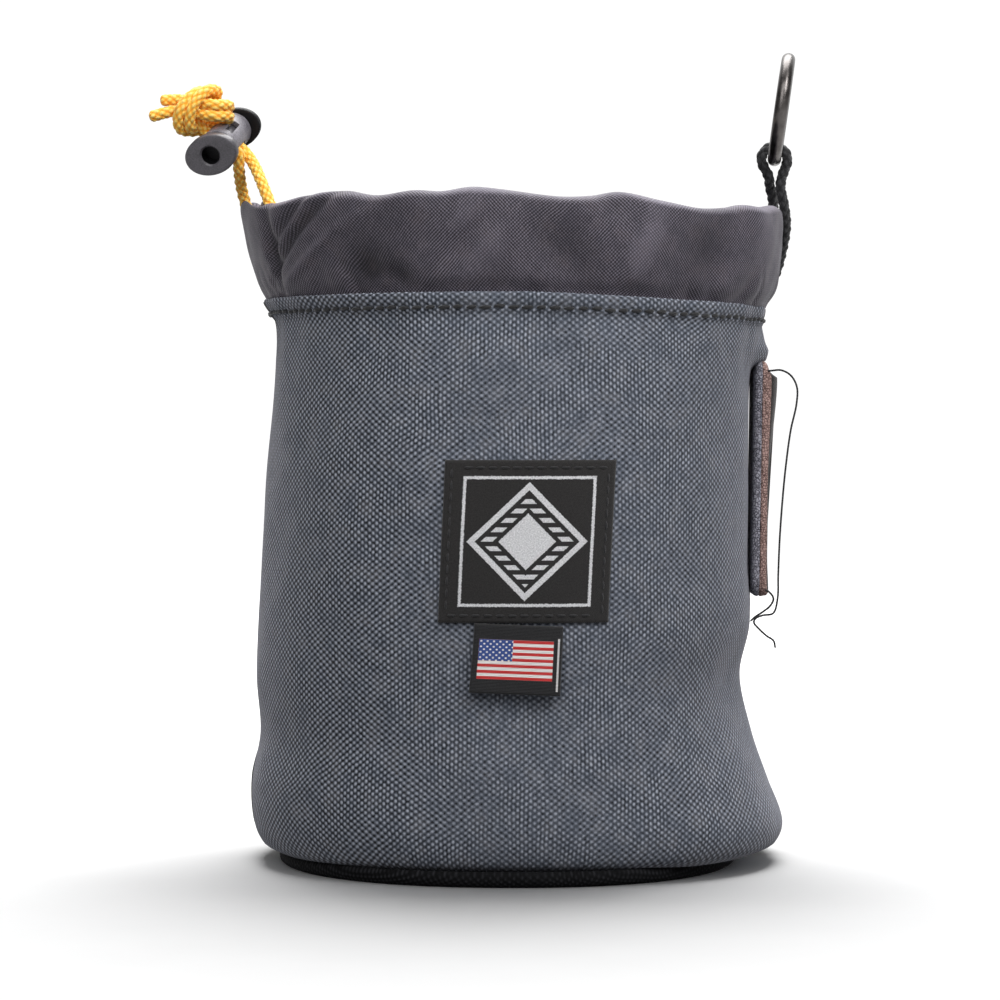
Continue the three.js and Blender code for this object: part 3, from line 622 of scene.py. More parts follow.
def plated(name, light, dark):
    made = Shader(name, 0.3, Metallic=1.0)
    place = made.place()
    broad = made.noise(place, 220.0, 4.0, 0.65)
    fine = made.noise(place, 1500.0, 2.0)
    made.set("Base Color", made.mix(made.span(broad, 0.3, 0.7), dark, light))
    made.set("Roughness", made.span(broad, 0.3, 0.7, 0.24, 0.42))
    made.bump(fine, 0.015 * MM)
    return made.material


def hide(name, light, dark, roughness, relief, scale):
    """Leather: a grained face, or the raw fibres of a cut edge."""
    made = Shader(name, roughness, Specular_IOR_Level=0.3)
    place = made.place()
    cells = made.node("TexVoronoi", {"Vector": place, "Scale": scale}, feature="DISTANCE_TO_EDGE")
    grain = made.span(cells.outputs["Distance"], 0.0, 0.18)
    broad = made.noise(place, 0.35 * scale, 4.0, 0.65)
    level = made.plus(made.times(grain, 0.4), made.times(broad, 0.8))
    made.set("Base Color", made.mix(made.span(level, 0.35, 0.95), dark, light))
    made.bump(made.plus(grain, broad), relief * MM)
    return made.material


WEAVE = (1.12, 0.888)
# Each cloth's light and dark tones are painted highlight on the yarn crowns and painted shade in the gaps.
GREY_CLOTH = woven(
    "grey cloth", WEAVE, colour(172, 177, 190), colour(88, 93, 103), colour(7, 8, 12), sheen=0.22
)
BLACK_CLOTH = woven(
    "black cloth", WEAVE, colour(34, 34, 37), colour(14, 14, 16), colour(3, 3, 4),
    sheen=0.0, tint=0.0, shine=0.1,
)
PACKCLOTH = woven(
    "black packcloth", (0.52, 0.52), colour(146, 140, 153), colour(71, 67, 75), colour(11, 10, 13),
    roughness=0.62, sheen=0.06, relief=0.03, tint=0.3, grain=0.9, shine=0.16, twill=True,
)
# Each cord's valley and crown colours are painted shade between the yarns and painted highlight on them.
ORANGE_CORD = corded("orange cord", colour(255, 232, 140), colour(255, 188, 56), colour(252, 118, 6))
BLACK_CORD = corded("black cord", colour(52, 52, 55), colour(26, 26, 28), colour(5, 5, 5))
# The black material: the far flange's own colour, and painted shade inside the lock's bore and the button's
# hole.
BLACK_PLASTIC_AND_HOLE_SHADE = moulded("black plastic and painted hole shade", colour(26, 25, 28), colour(14, 14, 16), 0.5, 0.15)
DARK_PLASTIC = moulded("dark plastic", colour(86, 83, 89), colour(58, 56, 61))
# The lock's barrel: grey, partly its own colour and partly painted highlight from the light above.
GREY_PLASTIC_PAINTED_HIGHLIGHT = moulded("grey plastic with painted highlight", colour(140, 137, 144), colour(92, 89, 95), 0.5)
DARK_METAL = plated("dark metal", colour(104, 100, 98), colour(70, 67, 66))
WEBBING = hide("webbing", colour(188, 186, 198), colour(84, 83, 92), 0.95, 0.3, 1100.0)
LEATHER_FACE = hide("leather face", colour(52, 47, 46), colour(30, 27, 27), 0.55, 0.08, 900.0)
LEATHER_EDGE = hide("leather edge", colour(206, 172, 164), colour(106, 80, 74), 0.9, 0.3, 1300.0)
BLACK_THREAD = corded("black thread", colour(40, 40, 43), colour(22, 22, 24), colour(6, 6, 6))


def label_ground(name, roughness, scale, dark, light):
    """A woven label's shader, its places across and up, its fibres and the colour of its ground."""
    made = Shader(name, roughness, Sheen_Weight=0.2, Specular_IOR_Level=0.25)
    u, v, _ = made.mark("cloth")
    fibre = made.noise(made.vector(u, v), scale, 3.0, 0.7)
    return made, u, v, fibre, made.mix(made.span(fibre, 0.3, 0.75), dark, light)


def woven_label():
    """Black woven label with a thin square frame and a diamond of white threads."""
    made, u, v, fibre, ground = label_ground("woven label", 0.8, 2.4, colour(17, 16, 16), colour(46, 44, 44))
    grain = made.times(made.wave(v, 0.42), made.wave(u, 0.6))
    fray = made.times(made.minus(made.noise(made.vector(u, v), 1.9, 2.0), 0.5), 0.55)
    across = made.math("ABSOLUTE", u)
    up = made.math("ABSOLUTE", v)
    reach = made.plus(made.plus(across, up), fray)
    square = made.plus(made.math("MAXIMUM", across, up), fray)
    soft = 0.1
    shape = made.math("MAXIMUM", made.band(square, 17.2, 18.0, soft), made.band(reach, 14.2, 16.4, soft))
    shape = made.math("MAXIMUM", shape, made.span(reach, 7.8 + soft, 7.8 - soft))
    stripe = made.span(made.wave(v, 2.6), -0.1, 0.1)
    shape = made.math("MAXIMUM", shape, made.times(made.band(reach, 9.4, 12.6, soft), stripe))
    white = made.mix(made.span(fibre, 0.3, 0.7), colour(176, 176, 180), colour(236, 236, 238))
    made.set("Base Color", made.mix(shape, ground, white))
    made.bump(made.plus(grain, made.times(shape, 0.8)), 0.05 * MM)
    return made.material


def woven_tag():
    """Black woven tag with a plain striped field and a blue corner."""
    made, u, v, _, ground = label_ground("woven tag", 0.75, 2.6, colour(14, 14, 15), colour(38, 38, 41))
    grain = made.wave(v, 0.4)
    low, high, left, right, corner_low, corner_right, soft = -5.6, 5.4, -10.3, 9.6, -0.5, -1.2, 0.06
    stripe = (high - low) / 13
    red = made.span(made.wave(made.minus(v, low), 2 * stripe), -0.15, 0.15)
    white_thread, red_thread = colour(232, 228, 226), colour(196, 52, 52)
    flag = made.mix(red, white_thread, red_thread)
    dot = made.times(made.wave(u, 1.7), made.wave(v, 1.5))
    corner = made.mix(made.span(dot, 0.35, 0.7), colour(54, 78, 142), white_thread)
    in_corner = made.times(made.band(u, left, corner_right, soft), made.band(v, corner_low, high, soft))
    flag = made.mix(in_corner, flag, corner)
    in_field = made.times(made.band(u, left, right, soft), made.band(v, low, high, soft))
    side_line = made.times(made.band(u, 10.7, 11.2, soft), made.band(v, -8.4, 6.2, soft))
    ground = made.mix(side_line, ground, colour(206, 204, 204))
    made.set("Base Color", made.mix(in_field, ground, flag))
    made.bump(made.plus(grain, made.times(in_field, 1.5)), 0.05 * MM)
    return made.material


# Body walls and base

# How far the side seams wander towards the front: height, degrees and reach up and down.
LEFT_WANDER = [(160, 12, 16), (10, 9, 22)]
RIGHT_WANDER = [(163, 8, 12)]
WALL_STEP = 1.15
SEAM_GAP = 0.03
SEAM_PINCH = 0.9
SEAM_PINCH_WIDE = 3.2
STITCH_HEIGHT = 160.8
STITCH_LONG = 3.0
STITCH_APART = 3.9
AROUND = 74.5
# The turned-in foot of a wall: its underside, the radius of its bend outside and inside, the inset of
# its inside and the height where the plain wall starts.
FOOT = SimpleNamespace(under=3.15, bend=2.6, inner_bend=2.1, inset=4.2, top=6.9)
BASE_THICK = 2.8
BASE_EDGE = 1.6
BASE_ROLL = 1.6


def soft_waves(angle, z):
    """Small unevenness of the cloth that the folds' table leaves out."""
    turn = np.radians(angle)
    waves = 0.28 * np.sin(9 * turn + 0.045 * z + 0.6) * np.sin(0.07 * z + 2 * turn)
    waves = waves + 0.16 * np.sin(17 * turn - 0.06 * z + 1.9) * np.sin(0.11 * z + 1.1)
    hem = np.exp(-(((HEM_LINE - z) / 16) ** 2))
    return waves + hem * 0.3 * np.sin(26 * turn + 0.8 * np.sin(5 * turn))


def seams(z):
    """Angles of the left and the right seam at a height."""
    left, right = (
        sum(turn * np.exp(-(((z - at) / reach) ** 2)) for at, turn, reach in rows)
        for rows in (LEFT_WANDER, RIGHT_WANDER)
    )
    return left - SEAM, SEAM - right


def wall_out(angle, z):
    """Outside of the body with its fine shape, pinched in at the side seams."""
    out = body_out(angle, z) + soft_waves(angle, z) * ease((z - 6) / 14)
    near = np.min([np.abs(wrapped(angle - seam)) for seam in seams(z)], axis=0) * np.radians(AROUND)
    return out - SEAM_PINCH * np.exp(-((near / SEAM_PINCH_WIDE) ** 2))


def stitch_pull(angle, z):
    """How far the hem's stitches draw the cloth in."""
    line = np.exp(-(((z - STITCH_HEIGHT) / 0.9) ** 2))
    along = np.radians(angle) * AROUND
    return line * (0.5 + 0.25 * np.cos(2 * np.pi * along / STITCH_APART))


def wall_profile():
    """Rows of a wall from its turned-in foot to its hem: height and inset outside, then inside."""
    under, bend, inset, top = FOOT.under, FOOT.bend, FOOT.inset, FOOT.top
    foot = [(under, x, under + CLOTH, max(x, inset)) for x in (8, 6.5, 5, 3.8)]
    corner = []
    for turn in np.radians(np.linspace(0, 90, 8)):
        c, s = np.cos(turn), np.sin(turn)
        corner.append((under + bend * (1 - c), bend * (1 - s), top - FOOT.inner_bend * c, inset - bend * s))
    wall = [(z, 0, z + 0.6, CLOTH) for z in np.arange(top, 158.6, WALL_STEP * (1))]
    hem = []
    for t in np.linspace(0, 1, 12):
        z = 159 + 6 * t
        round_off = 0.75 * max(0.0, (t - 0.86) / 0.14) ** 2
        step = -HEM_STEP * ease(t / 0.2) + round_off
        hem.append((z, step, z - 0.1 * t, CLOTH - 0.5 * round_off))
    return np.array([*foot, *corner, *wall, *hem])


def wall_panel(name, back, material, slot, node):
    rows = wall_profile()
    left, right = seams(np.minimum(rows[:, :1], STITCH_HEIGHT))
    start, end = (right, left + 360) if back else (left, right)
    wide = np.radians(360 - 2 * SEAM if back else 2 * SEAM) * AROUND
    columns = int(wide / (WALL_STEP * 1))
    slack = np.degrees(0.5 * SEAM_GAP / AROUND)
    angle = start + slack + np.linspace(0, 1, columns)[None, :] * (end - start - 2 * slack)
    grids = []
    for height, inset, facing in ((rows[:, 0:1], rows[:, 1:2], 1), (rows[:, 2:3], rows[:, 3:4], 0)):
        out = wall_out(angle, height) - inset - facing * stitch_pull(angle, height)
        grids.append(polar(angle, out, wall_height(angle, height)))
    along = run_length(rows[:, :2])
    cloth = stacked(np.radians(angle) * AROUND, along[:, None], 0.0)
    cloth_sheet(name, *grids, cloth, material, slot, node, (wide, float(along[-1])), "stretched", ["base"])


def hem_stitches():
    left, right = seams(STITCH_HEIGHT)
    apart = np.degrees(STITCH_APART / AROUND)
    margin = 1.5
    middles = np.concatenate([
        np.arange(left + margin, right - margin, apart),
        np.arange(right + margin, 360 + left - margin, apart),
    ])
    draw = np.random.default_rng(3)
    half = 0.5 * np.degrees(STITCH_LONG * draw.uniform(0.85, 1.1, len(middles)) / AROUND)
    lift = draw.uniform(-0.25, 0.25, len(middles))
    runs = []
    for angle, slope in ((middles - half, -0.12), (middles + half, 0.12)):
        z = STITCH_HEIGHT + lift + slope
        runs.append(polar(angle, wall_out(angle, z) + HEM_STEP - 0.15, wall_height(angle, z)))
    ways = polar(middles, np.ones_like(middles), 0.0)
    stitches("hem_stitches", *runs, ways, 0.58, 0.2, "black_cloth")


def base_plate():
    columns = 300
    flat = (70, 40, 20, 8)
    round_edge = np.radians(np.linspace(15, 165, 11))
    profile = [(0.0, inset) for inset in (*flat, BASE_EDGE)]
    profile += [(0.5 * BASE_THICK * (1 - np.cos(t)), BASE_EDGE * (1 - np.sin(t))) for t in round_edge]
    profile += [(BASE_THICK, inset) for inset in (BASE_EDGE, 2.6, 3.6, 5, *flat[::-1])]
    angle = np.linspace(0, 360, columns, endpoint=False)[None, :]
    height, inset = (np.array(profile)[:, k : k + 1] for k in (0, 1))
    roll = BASE_ROLL * np.clip(np.cos(np.radians(angle)), 0, 1) ** 0.7 * ease((4.5 - inset) / 3)
    height = height * (1 + roll / BASE_THICK)
    out = np.where(inset >= flat[0], 0.4, outline(*BASE.values(), angle) - inset)
    grid = polar(angle, out, height)
    cloth = grid * [1, 1, 0] + polar(angle, 1.0, 0.0) * height[..., None]
    piece(
        "base_cloth", *lathe(grid), BLACK_CLOTH, slot="black_cloth", nodes=["base"],
        marks={"cloth": cloth.reshape(-1, 3)},
    )


# Collar

COLLAR_AROUND = 77
COLLAR_TUCK = 1.4
# How much lighter the collar's rim is painted, as painted highlight where the rim catches the light from
# above.
COLLAR_RIM_PAINTED_HIGHLIGHT = 1.3
RIM_FROM = 0.92
# The collar's foot inside the hem: how far down, and in from the wall.
COLLAR_FOOT = [(4.0, 2.4), (8.0, 2.4), (8.0, 0.4), (4.0, 0.4)]


def collar_ruffle(angle, up):
    """Fine puckers where the collar is sewn in, and soft waves above them."""
    draw = np.random.default_rng(7)
    total = COLLAR_TUCK * np.exp(-((up / 0.1) ** 2))
    for at in np.arange(-180, 180, 6.5):
        at = at + draw.uniform(-2.5, 2.5)
        depth, wide = draw.uniform(0.2, 1.0), draw.uniform(1.1, 2.4)
        tall, lean = draw.uniform(0.14, 0.36), draw.uniform(-12, 12)
        across = wrapped(angle - at - lean * up)
        total = total + depth * np.exp(-((across / wide) ** 2) - ((up - 0.04) / tall) ** 2)
    turn = np.radians(angle)
    waves = 0.22 * np.sin(15 * turn + 5 * up) * np.sin(6 * up + 3 * turn)
    return waves + 0.12 * np.sin(31 * turn - 7 * up + 1) - total


def collar_profile():
    """The collar's section as a closed loop: share of height, inset as a share of its thickness
    and how far a slit goes down there."""
    outer = [(u, 0.0, 0.0) for u in np.linspace(0.0, RIM_FROM, 36)]
    rim = []
    for t in np.radians(np.linspace(6, 174, 26)):
        lip = min(t, np.pi - t)
        rim.append((RIM_FROM + (1 - RIM_FROM) * np.sin(t), 0.5 - 0.5 * np.cos(t), ease((lip - 0.5) / 0.42)))
    inner = [(u, 1.0, 0.0) for u in np.linspace(RIM_FROM, 0.0, 20)]
    return np.array([*outer, *rim, *inner])


def slit_open(angle):
    """How far the slit in the rim is open, from 0 to 1."""
    angle = wrapped(angle)
    return ease((angle - SLIT.left) / SLIT.fade) * ease((SLIT.right - angle) / SLIT.fade)


def collar_loops(angle):
    """Closed loops of the collar, one for each angle."""
    angle = angle[:, None]
    profile = collar_profile()
    up, inset, slit = (profile[None, :, k] for k in range(3))
    thick = smooth(COLLAR, COLLAR_THICK, up)
    out = collar_out(angle, up) - inset * thick + (1 - inset) * collar_ruffle(angle, up)
    height = collar_height(angle, up - SLIT.depth * slit * slit_open(angle))
    rings = [polar(angle, out, height)]
    for down, depth in COLLAR_FOOT:
        inside = body_out(angle, HEM_LINE - down) - CLOTH - GAP - depth
        rings.append(polar(angle, inside, hem_top(angle) - down))
    return np.concatenate(rings, 1)


def collar():
    columns = 520
    angle = np.linspace(-180, 180, columns, endpoint=False)
    loops = collar_loops(angle)
    along = run_length(loops[columns // 2])
    turn = np.radians(angle)[:, None]
    painted_fold_shading = np.zeros(loops.shape[:2])
    profile = collar_profile()
    up, inset = profile[None, :, 0], profile[None, :, 1]
    # Painted shading for the packcloth: fold depth on the outside darkens its colour as painted shade;
    # bulges and the rim lighten it as painted highlight.
    folds = (1 - inset) * dent(COLLAR_FOLDS, angle[:, None], up)
    painted_fold_shading[:, : len(profile)] = folds - COLLAR_RIM_PAINTED_HIGHLIGHT * ease((up - 0.91) / 0.08)
    cloth = stacked(turn * COLLAR_AROUND, along[None, :], painted_fold_shading)
    made = piece(
        "collar_cloth", *torus(loops), PACKCLOTH, slot="black_packcloth", nodes=["collar"],
        marks={"cloth": cloth.reshape(-1, 3)},
    )


# Cords


def by_lock(along_cord, along_barrel):
    return LOCK_MIDDLE + along_cord * CORD_WAY + along_barrel * BARREL_WAY


def through_knot(sign):
    """One strand's way through the knot, from the front in the row frame."""
    places = []
    for middle, half in KNOT_RUN:
        right, front, up = np.array(middle) + sign * np.array(half)
        places.append(KNOT_MIDDLE + [right, -front, up])
    return places


def channel_place(angle):
    inset = 0.5 * smooth(COLLAR, COLLAR_THICK, CORD_UP)
    out = np.mean([collar_out(angle + aside, CORD_UP) for aside in (-3.0, -1.5, 0.0, 1.5, 3.0)])
    return polar(angle, out - inset, collar_height(angle, CORD_UP))


def drawstring():
    step, sides = ((0.3, 40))
    inside = {1: [channel_place(-58.0), channel_place(-63.0)], -1: [channel_place(-96.0)]}
    for name, sign, leg, tail in (
        ("strand_right", 1, RIGHT_STRAND, UPPER_TAIL), ("strand_left", -1, LEFT_STRAND, LOWER_TAIL),
    ):
        locked = [by_lock(along, sign * STRAND_OFFSET) for along in (-5.4, 0.0, 6.0)]
        path = spline([*inside[sign], *leg, *locked, *through_knot(sign), *tail], step)
        free_cord(
            name, path, CORD, STRAND_YARNS, ORANGE_CORD, sides, "knot", "loose", slot="orange_cord",
            nodes=["drawstring", "drawstring_knot"],
        )
    path = spline([channel_place(angle) for angle in np.arange(-56, 263, 2.0)], 1.5)
    braided("channel_cord", path, CORD, CHANNEL_YARNS, ORANGE_CORD, 12, slot="orange_cord")


def ring_loop():
    step, sides = ((0.3, 36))
    yaw = math.radians(-RING.yaw)
    reach = 0.5 * (RING.wire + LOOP) + GAP
    over = []
    for turn in np.radians([180, 135, 90, 45, 0]):
        aside = reach * math.cos(turn)
        over.append(RING_SEAT + [aside * math.cos(yaw), aside * math.sin(yaw), reach * math.sin(turn)])
    back = [polar(*row) for row in LOOP_LEG_BACK]
    front = [polar(*row) for row in LOOP_LEG_FRONT]
    free_cord(
        "loop_cord", spline([*back, *over, *front[::-1]], step), LOOP, LOOP_YARNS, BLACK_CORD, sides,
        "object", "taut", slot="black_cord", nodes=["ring_loop"],
    )


# Hardware


def ring():
    around, across = ((220, 40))
    radius, half = 0.5 * (RING.outside - RING.wire), 0.5 * RING.wire
    a = np.linspace(0, 2 * np.pi, around, endpoint=False)[:, None]
    b = np.linspace(0, 2 * np.pi, across, endpoint=False)[None, :]
    reach = radius + half * np.cos(b)
    grid = stacked(half * np.sin(b), reach * np.cos(a), radius + reach * np.sin(a))
    yaw = Matrix.Rotation(math.radians(-RING.yaw), 3, "Z")
    turn = yaw @ Matrix.Rotation(math.radians(RING.lean), 3, "Y")
    grid = grid @ np.array(turn).T + RING_SEAT
    piece("ring_wire", *torus(grid), DARK_METAL, body="ring", slot="dark_metal", nodes=["ring"])


def turned(profile, sides, long=1.0, short=1.0, turn=0.0):
    """A closed lathe solid from (radius, place) rows, round or oval, as points and faces."""
    profile = np.array(profile)
    spin = np.linspace(0, 2 * np.pi, sides, endpoint=False)[None, :]
    x = profile[:, :1] * long * np.cos(spin)
    y = profile[:, :1] * short * np.sin(spin)
    c, s = math.cos(math.radians(turn)), math.sin(math.radians(turn))
    return lathe(stacked(c * x - s * y, s * x + c * y, profile[:, 1:]))


def rounded(radius, low, high, edge, steps=5):
    """Rows of a disc with rounded edges."""
    turns = np.linspace(0, math.pi / 2, steps)
    rows = [(radius - edge * (1 - math.sin(t)), low + edge * (1 - math.cos(t))) for t in turns]
    return rows + [(radius - edge * (1 - math.cos(t)), high - edge * (1 - math.sin(t))) for t in turns]


def worked(first, steps):
    """The mesh of a solid after joins and cuts with others, which are then removed."""
    for operation, other in steps:
        change = first.modifiers.new("change", "BOOLEAN")
        change.operation = operation
        change.solver = "EXACT"
        change.object = other
    bpy.context.view_layer.update()
    shape = first.evaluated_get(bpy.context.evaluated_depsgraph_get())
    mesh = bpy.data.meshes.new_from_object(shape)
    for one in [first, *(other for _, other in steps)]:
        bpy.data.objects.remove(one)
    return mesh


def plastic_piece(name, mesh, body, node, materials, kind):
    """A lock piece: kind gives the number of a face's material from its middle in the lock's frame."""
    mesh.name = name
    mesh.materials.clear()
    add(name, mesh, materials, body, [node])
    for face in mesh.polygons:
        across, aside, along = LOCK_BASIS @ (np.array(face.center) / MM - LOCK_MIDDLE)
        face.material_index = kind(math.hypot(across, aside), along)
    mesh.set_sharp_from_angle(angle=math.radians(38))


def part(points, faces):
    """An object for joining and cutting, given in the lock's frame."""
    return linked("part", mesh_of("part", points @ LOCK_BASIS + LOCK_MIDDLE, faces))


def box(size, middle):
    signs = np.array([(x, y, z) for z in (-1, 1) for y in (-1, 1) for x in (-1, 1)])
    faces = [(0, 2, 3, 1), (4, 5, 7, 6), (0, 1, 5, 4), (2, 6, 7, 3), (0, 4, 6, 2), (1, 3, 7, 5)]
    return 0.5 * signs * np.array(size) + np.array(middle), faces


def cord_slot(near, far):
    return part(*box((2.4 * LOCK.barrel, LOCK.slot_wide, far - near), (0, 0, 0.5 * (near + far))))


def window():
    """A slot through the front of the barrel's wall."""
    near, far, wall = LOCK.window_near, LOCK.window_far, 0.5 * LOCK.barrel
    return part(*box((LOCK.window_wide, wall, far - near), (0, 0.9 * wall, 0.5 * (near + far))))


def flange(low, high):
    rows = [(r, low + (high - low) * z) for r, z in rounded(1, 0, 1, 0.16)]
    return turned(rows, 72, LOCK.flange_long / 2, LOCK.flange_short / 2, LOCK.flange_turn)


def cord_lock():
    sides = 64
    barrel = rounded(0.5 * LOCK.barrel, LOCK.barrel_near, LOCK.barrel_far + 0.4, 0.5)
    bore = [(0.5 * LOCK.bore, LOCK.barrel_near - 2), (0.5 * LOCK.bore, LOCK.bore_end)]
    steps = [
        ("UNION", part(*flange(LOCK.barrel_far, LOCK.far_face))),
        ("DIFFERENCE", part(*turned(bore, sides))),
        ("DIFFERENCE", cord_slot(LOCK.slot_near, LOCK.slot_far)),
        ("DIFFERENCE", window()),
    ]
    inside = 0.5 * LOCK.bore + 0.1
    plastic_piece(
        "lock_barrel", worked(part(*turned(barrel, sides)), steps), "pouch", "lock_body",
        [GREY_PLASTIC_PAINTED_HIGHLIGHT, BLACK_PLASTIC_AND_HOLE_SHADE],
        # The far flange takes the black material as its own colour; faces inside the bore take it as painted
        # shade.
        lambda out, along: int(along > LOCK.barrel_far - 0.2 or out < inside),
    )
    end = LOCK.near_face + LOCK.near_flange
    stem = [(0.5 * LOCK.stem, end - 0.4), (0.5 * LOCK.stem, LOCK.stem_end)]
    hole = [
        (0.5 * LOCK.face_hole + 0.5, LOCK.near_face - 1),
        (0.5 * LOCK.face_hole + 0.5, LOCK.near_face - 0.01),
        (0.5 * LOCK.face_hole, LOCK.near_face + 0.45),
        (0.5 * LOCK.face_hole, LOCK.near_face + LOCK.face_hole_deep),
    ]
    steps = [
        ("UNION", part(*turned(stem, 48))),
        ("DIFFERENCE", part(*turned(hole, 48))),
        ("DIFFERENCE", cord_slot(LOCK.stem_slot_near, LOCK.slot_far)),
    ]
    button = worked(part(*flange(LOCK.near_face, end)), steps)
    in_hole = 0.5 * LOCK.face_hole + 0.1
    plastic_piece(
        "lock_button", button, "plunger", "lock_plunger", [DARK_PLASTIC, BLACK_PLASTIC_AND_HOLE_SHADE],
        # Faces inside the hole in the button's face take the black material as painted shade.
        lambda out, along: int(out < in_hole and along > LOCK.near_face + 0.3),
    )


# Side tab, label and tag


def rounded_rectangle(wide, tall, corner, steps=7):
    """Points round a rectangle with rounded corners, from its lower left, turning left."""
    places = []
    for x, y, start in ((1, -1, -90), (1, 1, 0), (-1, 1, 90), (-1, -1, 180)):
        middle = np.array([x * (0.5 * wide - corner), y * (0.5 * tall - corner)])
        for t in np.radians(np.linspace(start, start + 90, steps)):
            places.append(middle + corner * np.array([math.cos(t), math.sin(t)]))
    return np.array(places)


def tab_layer(name, rows, materials, slot, node):
    """One layer of the tab from rings: distance in from its edge, and out from its seat."""
    size = np.array([TAB.wide, TAB.top - TAB.bottom])
    edge = rounded_rectangle(*size, TAB.corner, 9)
    edge = np.concatenate([
        np.linspace(a, b, 44, endpoint=False) if np.linalg.norm(b - a) > TAB.corner else a[None]
        for a, b in zip(edge, np.roll(edge, -1, axis=0))
    ])
    inset, out = (np.array(rows)[:, k, None] for k in (0, 1))
    y, z = (edge[None, :, k] * (1 - 2 * inset / size[k]) for k in (0, 1))
    share = z / size[1] + 0.5
    swell = ease((share - 0.45) / 0.48) + 0.3 * ease((0.2 - share) / 0.2) + 0.1
    swell = TAB.swell * swell * (1 - ease((share - 0.93) / 0.05))
    x = out + np.where(out > TAB.seen, swell * (1 - (2 * y / size[0]) ** 4), 0.0)
    off = np.clip((out - TAB.crest) / TAB.arch, -1, 1)
    z = z - TAB.arch * (1 - np.sqrt(1 - off**2)) * ease((share - 0.9) / 0.1)
    lean = math.radians(TAB.lean)
    placed = np.stack([
        TAB.seat + x * math.cos(lean) + z * math.sin(lean), y,
        0.5 * (TAB.bottom + TAB.top) + z * math.cos(lean) - x * math.sin(lean),
    ], -1)
    made = piece(name, *lathe(placed), *materials, slot=slot, nodes=[node])
    if len(materials) > 1:
        raw = np.repeat(np.minimum(inset[:-1, 0], inset[1:, 0]) < 0.7, x.shape[1])
        for face, is_raw in zip(made.data.polygons, raw):
            face.material_index = int(is_raw)


def bevel(near, far, radius):
    """Rows over a rounded corner: distance in from the edge, and out."""
    turns = np.radians(np.linspace(0, 90, 7))
    return [(radius * (1 - math.sin(t)), near + (far - near) * (1 - math.cos(t))) for t in turns]


def side_tab():
    """The tab's two layers, with their outer corners rounded."""
    face = [*(share * TAB.wide for share in (0.46, 0.36, 0.26, 0.18)), 2.6]
    low, middle, high, corner = -0.7, 1.75, 3.9, 2.1
    webbing = [*((d, low) for d in face), *bevel(low, low + corner, corner), (0.0, middle - 0.3)]
    webbing += [(0.25, middle), *((d, middle) for d in face[::-1])]
    tab_layer("tab_webbing", webbing, [WEBBING], "webbing", "side_tab_inner")
    inner = middle + 0.05
    leather = [*((d, inner) for d in face), (0.2, inner), (0.0, inner + 0.3)]
    leather += [*bevel(high, high - 1.6, 1.8)[::-1], *((d, high) for d in face[::-1])]
    tab_layer("tab_leather", leather, [LEATHER_FACE, LEATHER_EDGE], "leather", "side_tab_outer")


def patch_place(x, z, off):
    angle = np.degrees(np.arcsin(np.clip(x / body_out(0, z), -1, 1)))
    return polar(angle, wall_out(angle, z) + off, z)


def patch(name, rows, columns, spot, thick, edge, material, slot, node, held, rests):
    """A small cloth patch: spot gives the place of its outer face at shares across and up."""
    s, t = np.meshgrid(np.linspace(0, 1, columns), np.linspace(0, 1, rows))
    x, z, off, u, v = spot(s, t)
    wide, tall = np.ptp(u), np.ptp(v)
    to_edge = np.minimum(np.minimum(s, 1 - s) * wide, np.minimum(t, 1 - t) * tall)
    fall = edge * (1 - np.sqrt(np.clip(1 - (1 - np.clip(to_edge / edge, 0, 1)) ** 2, 0, 1)))
    outer, inner = patch_place(x, z, off + thick - 0.7 * fall), patch_place(x, z, off)
    cloth = stacked(u, v, 0.0)
    cloth_sheet(name, outer, inner, cloth, material, slot, node, (wide, tall), held, rests)


def label_spot(s, t):
    u, v = (s - 0.5) * LABEL.wide, (t - 0.5) * LABEL.tall
    x = LABEL.x + u + math.tan(math.radians(LABEL.lean)) * v
    return x, LABEL.z + v, GAP + 0 * u, u, v


def tag_spot(s, t):
    u, v = (s - 0.5) * TAG.wide, (t - 0.5) * TAG.tall
    x = TAG.x + u + math.tan(math.radians(TAG.lean)) * (v - 0.5 * TAG.tall)
    z = TAG.top + v - 0.5 * TAG.tall - 0.04 * u
    curl = TAG.stand_off * (1 - t) ** 1.4 + 0.5 * (s - 0.5) * (1 - t)
    return x, z, GAP + curl, u, v


def label_and_tag():
    fine = 1
    patch(
        "label_woven", 90 // fine, 93 // fine, label_spot, LABEL.thick, 0.7, woven_label(),
        "woven_label", "label", "stretched", ["front_panel"],
    )
    patch(
        "tag_woven", 60 // fine, 72 // fine, tag_spot, TAG.thick, 0.7, woven_tag(),
        "woven_tag", "flag_tag", "folded", ["front_panel", "label"],
    )
    inset, long, apart = 2.1, 2.4, 3.3
    corners = np.array([(-1, -1), (1, -1), (1, 1), (-1, 1)]) * 0.5
    corners = corners * [LABEL.wide - 2 * inset, LABEL.tall - 2 * inset]
    starts, ends = [], []
    for a, b in zip(corners, np.roll(corners, -1, axis=0)):
        length = np.linalg.norm(b - a)
        for place in np.arange(0.4, length - long, apart):
            for run, at in ((starts, place), (ends, place + long)):
                u, v = a + (b - a) * at / length
                s, t = u / LABEL.wide + 0.5, v / LABEL.tall + 0.5
                x, z, off, _, _ = label_spot(s, t)
                run.append(patch_place(x, z, off + LABEL.thick + 0.02))
    starts, ends = np.array(starts), np.array(ends)
    ways = unit((starts + ends) * [1, 1, 0])
    stitches("label_stitches", starts, ends, ways, 0.34, 0.14, "woven_label")


# Loose threads at the tab

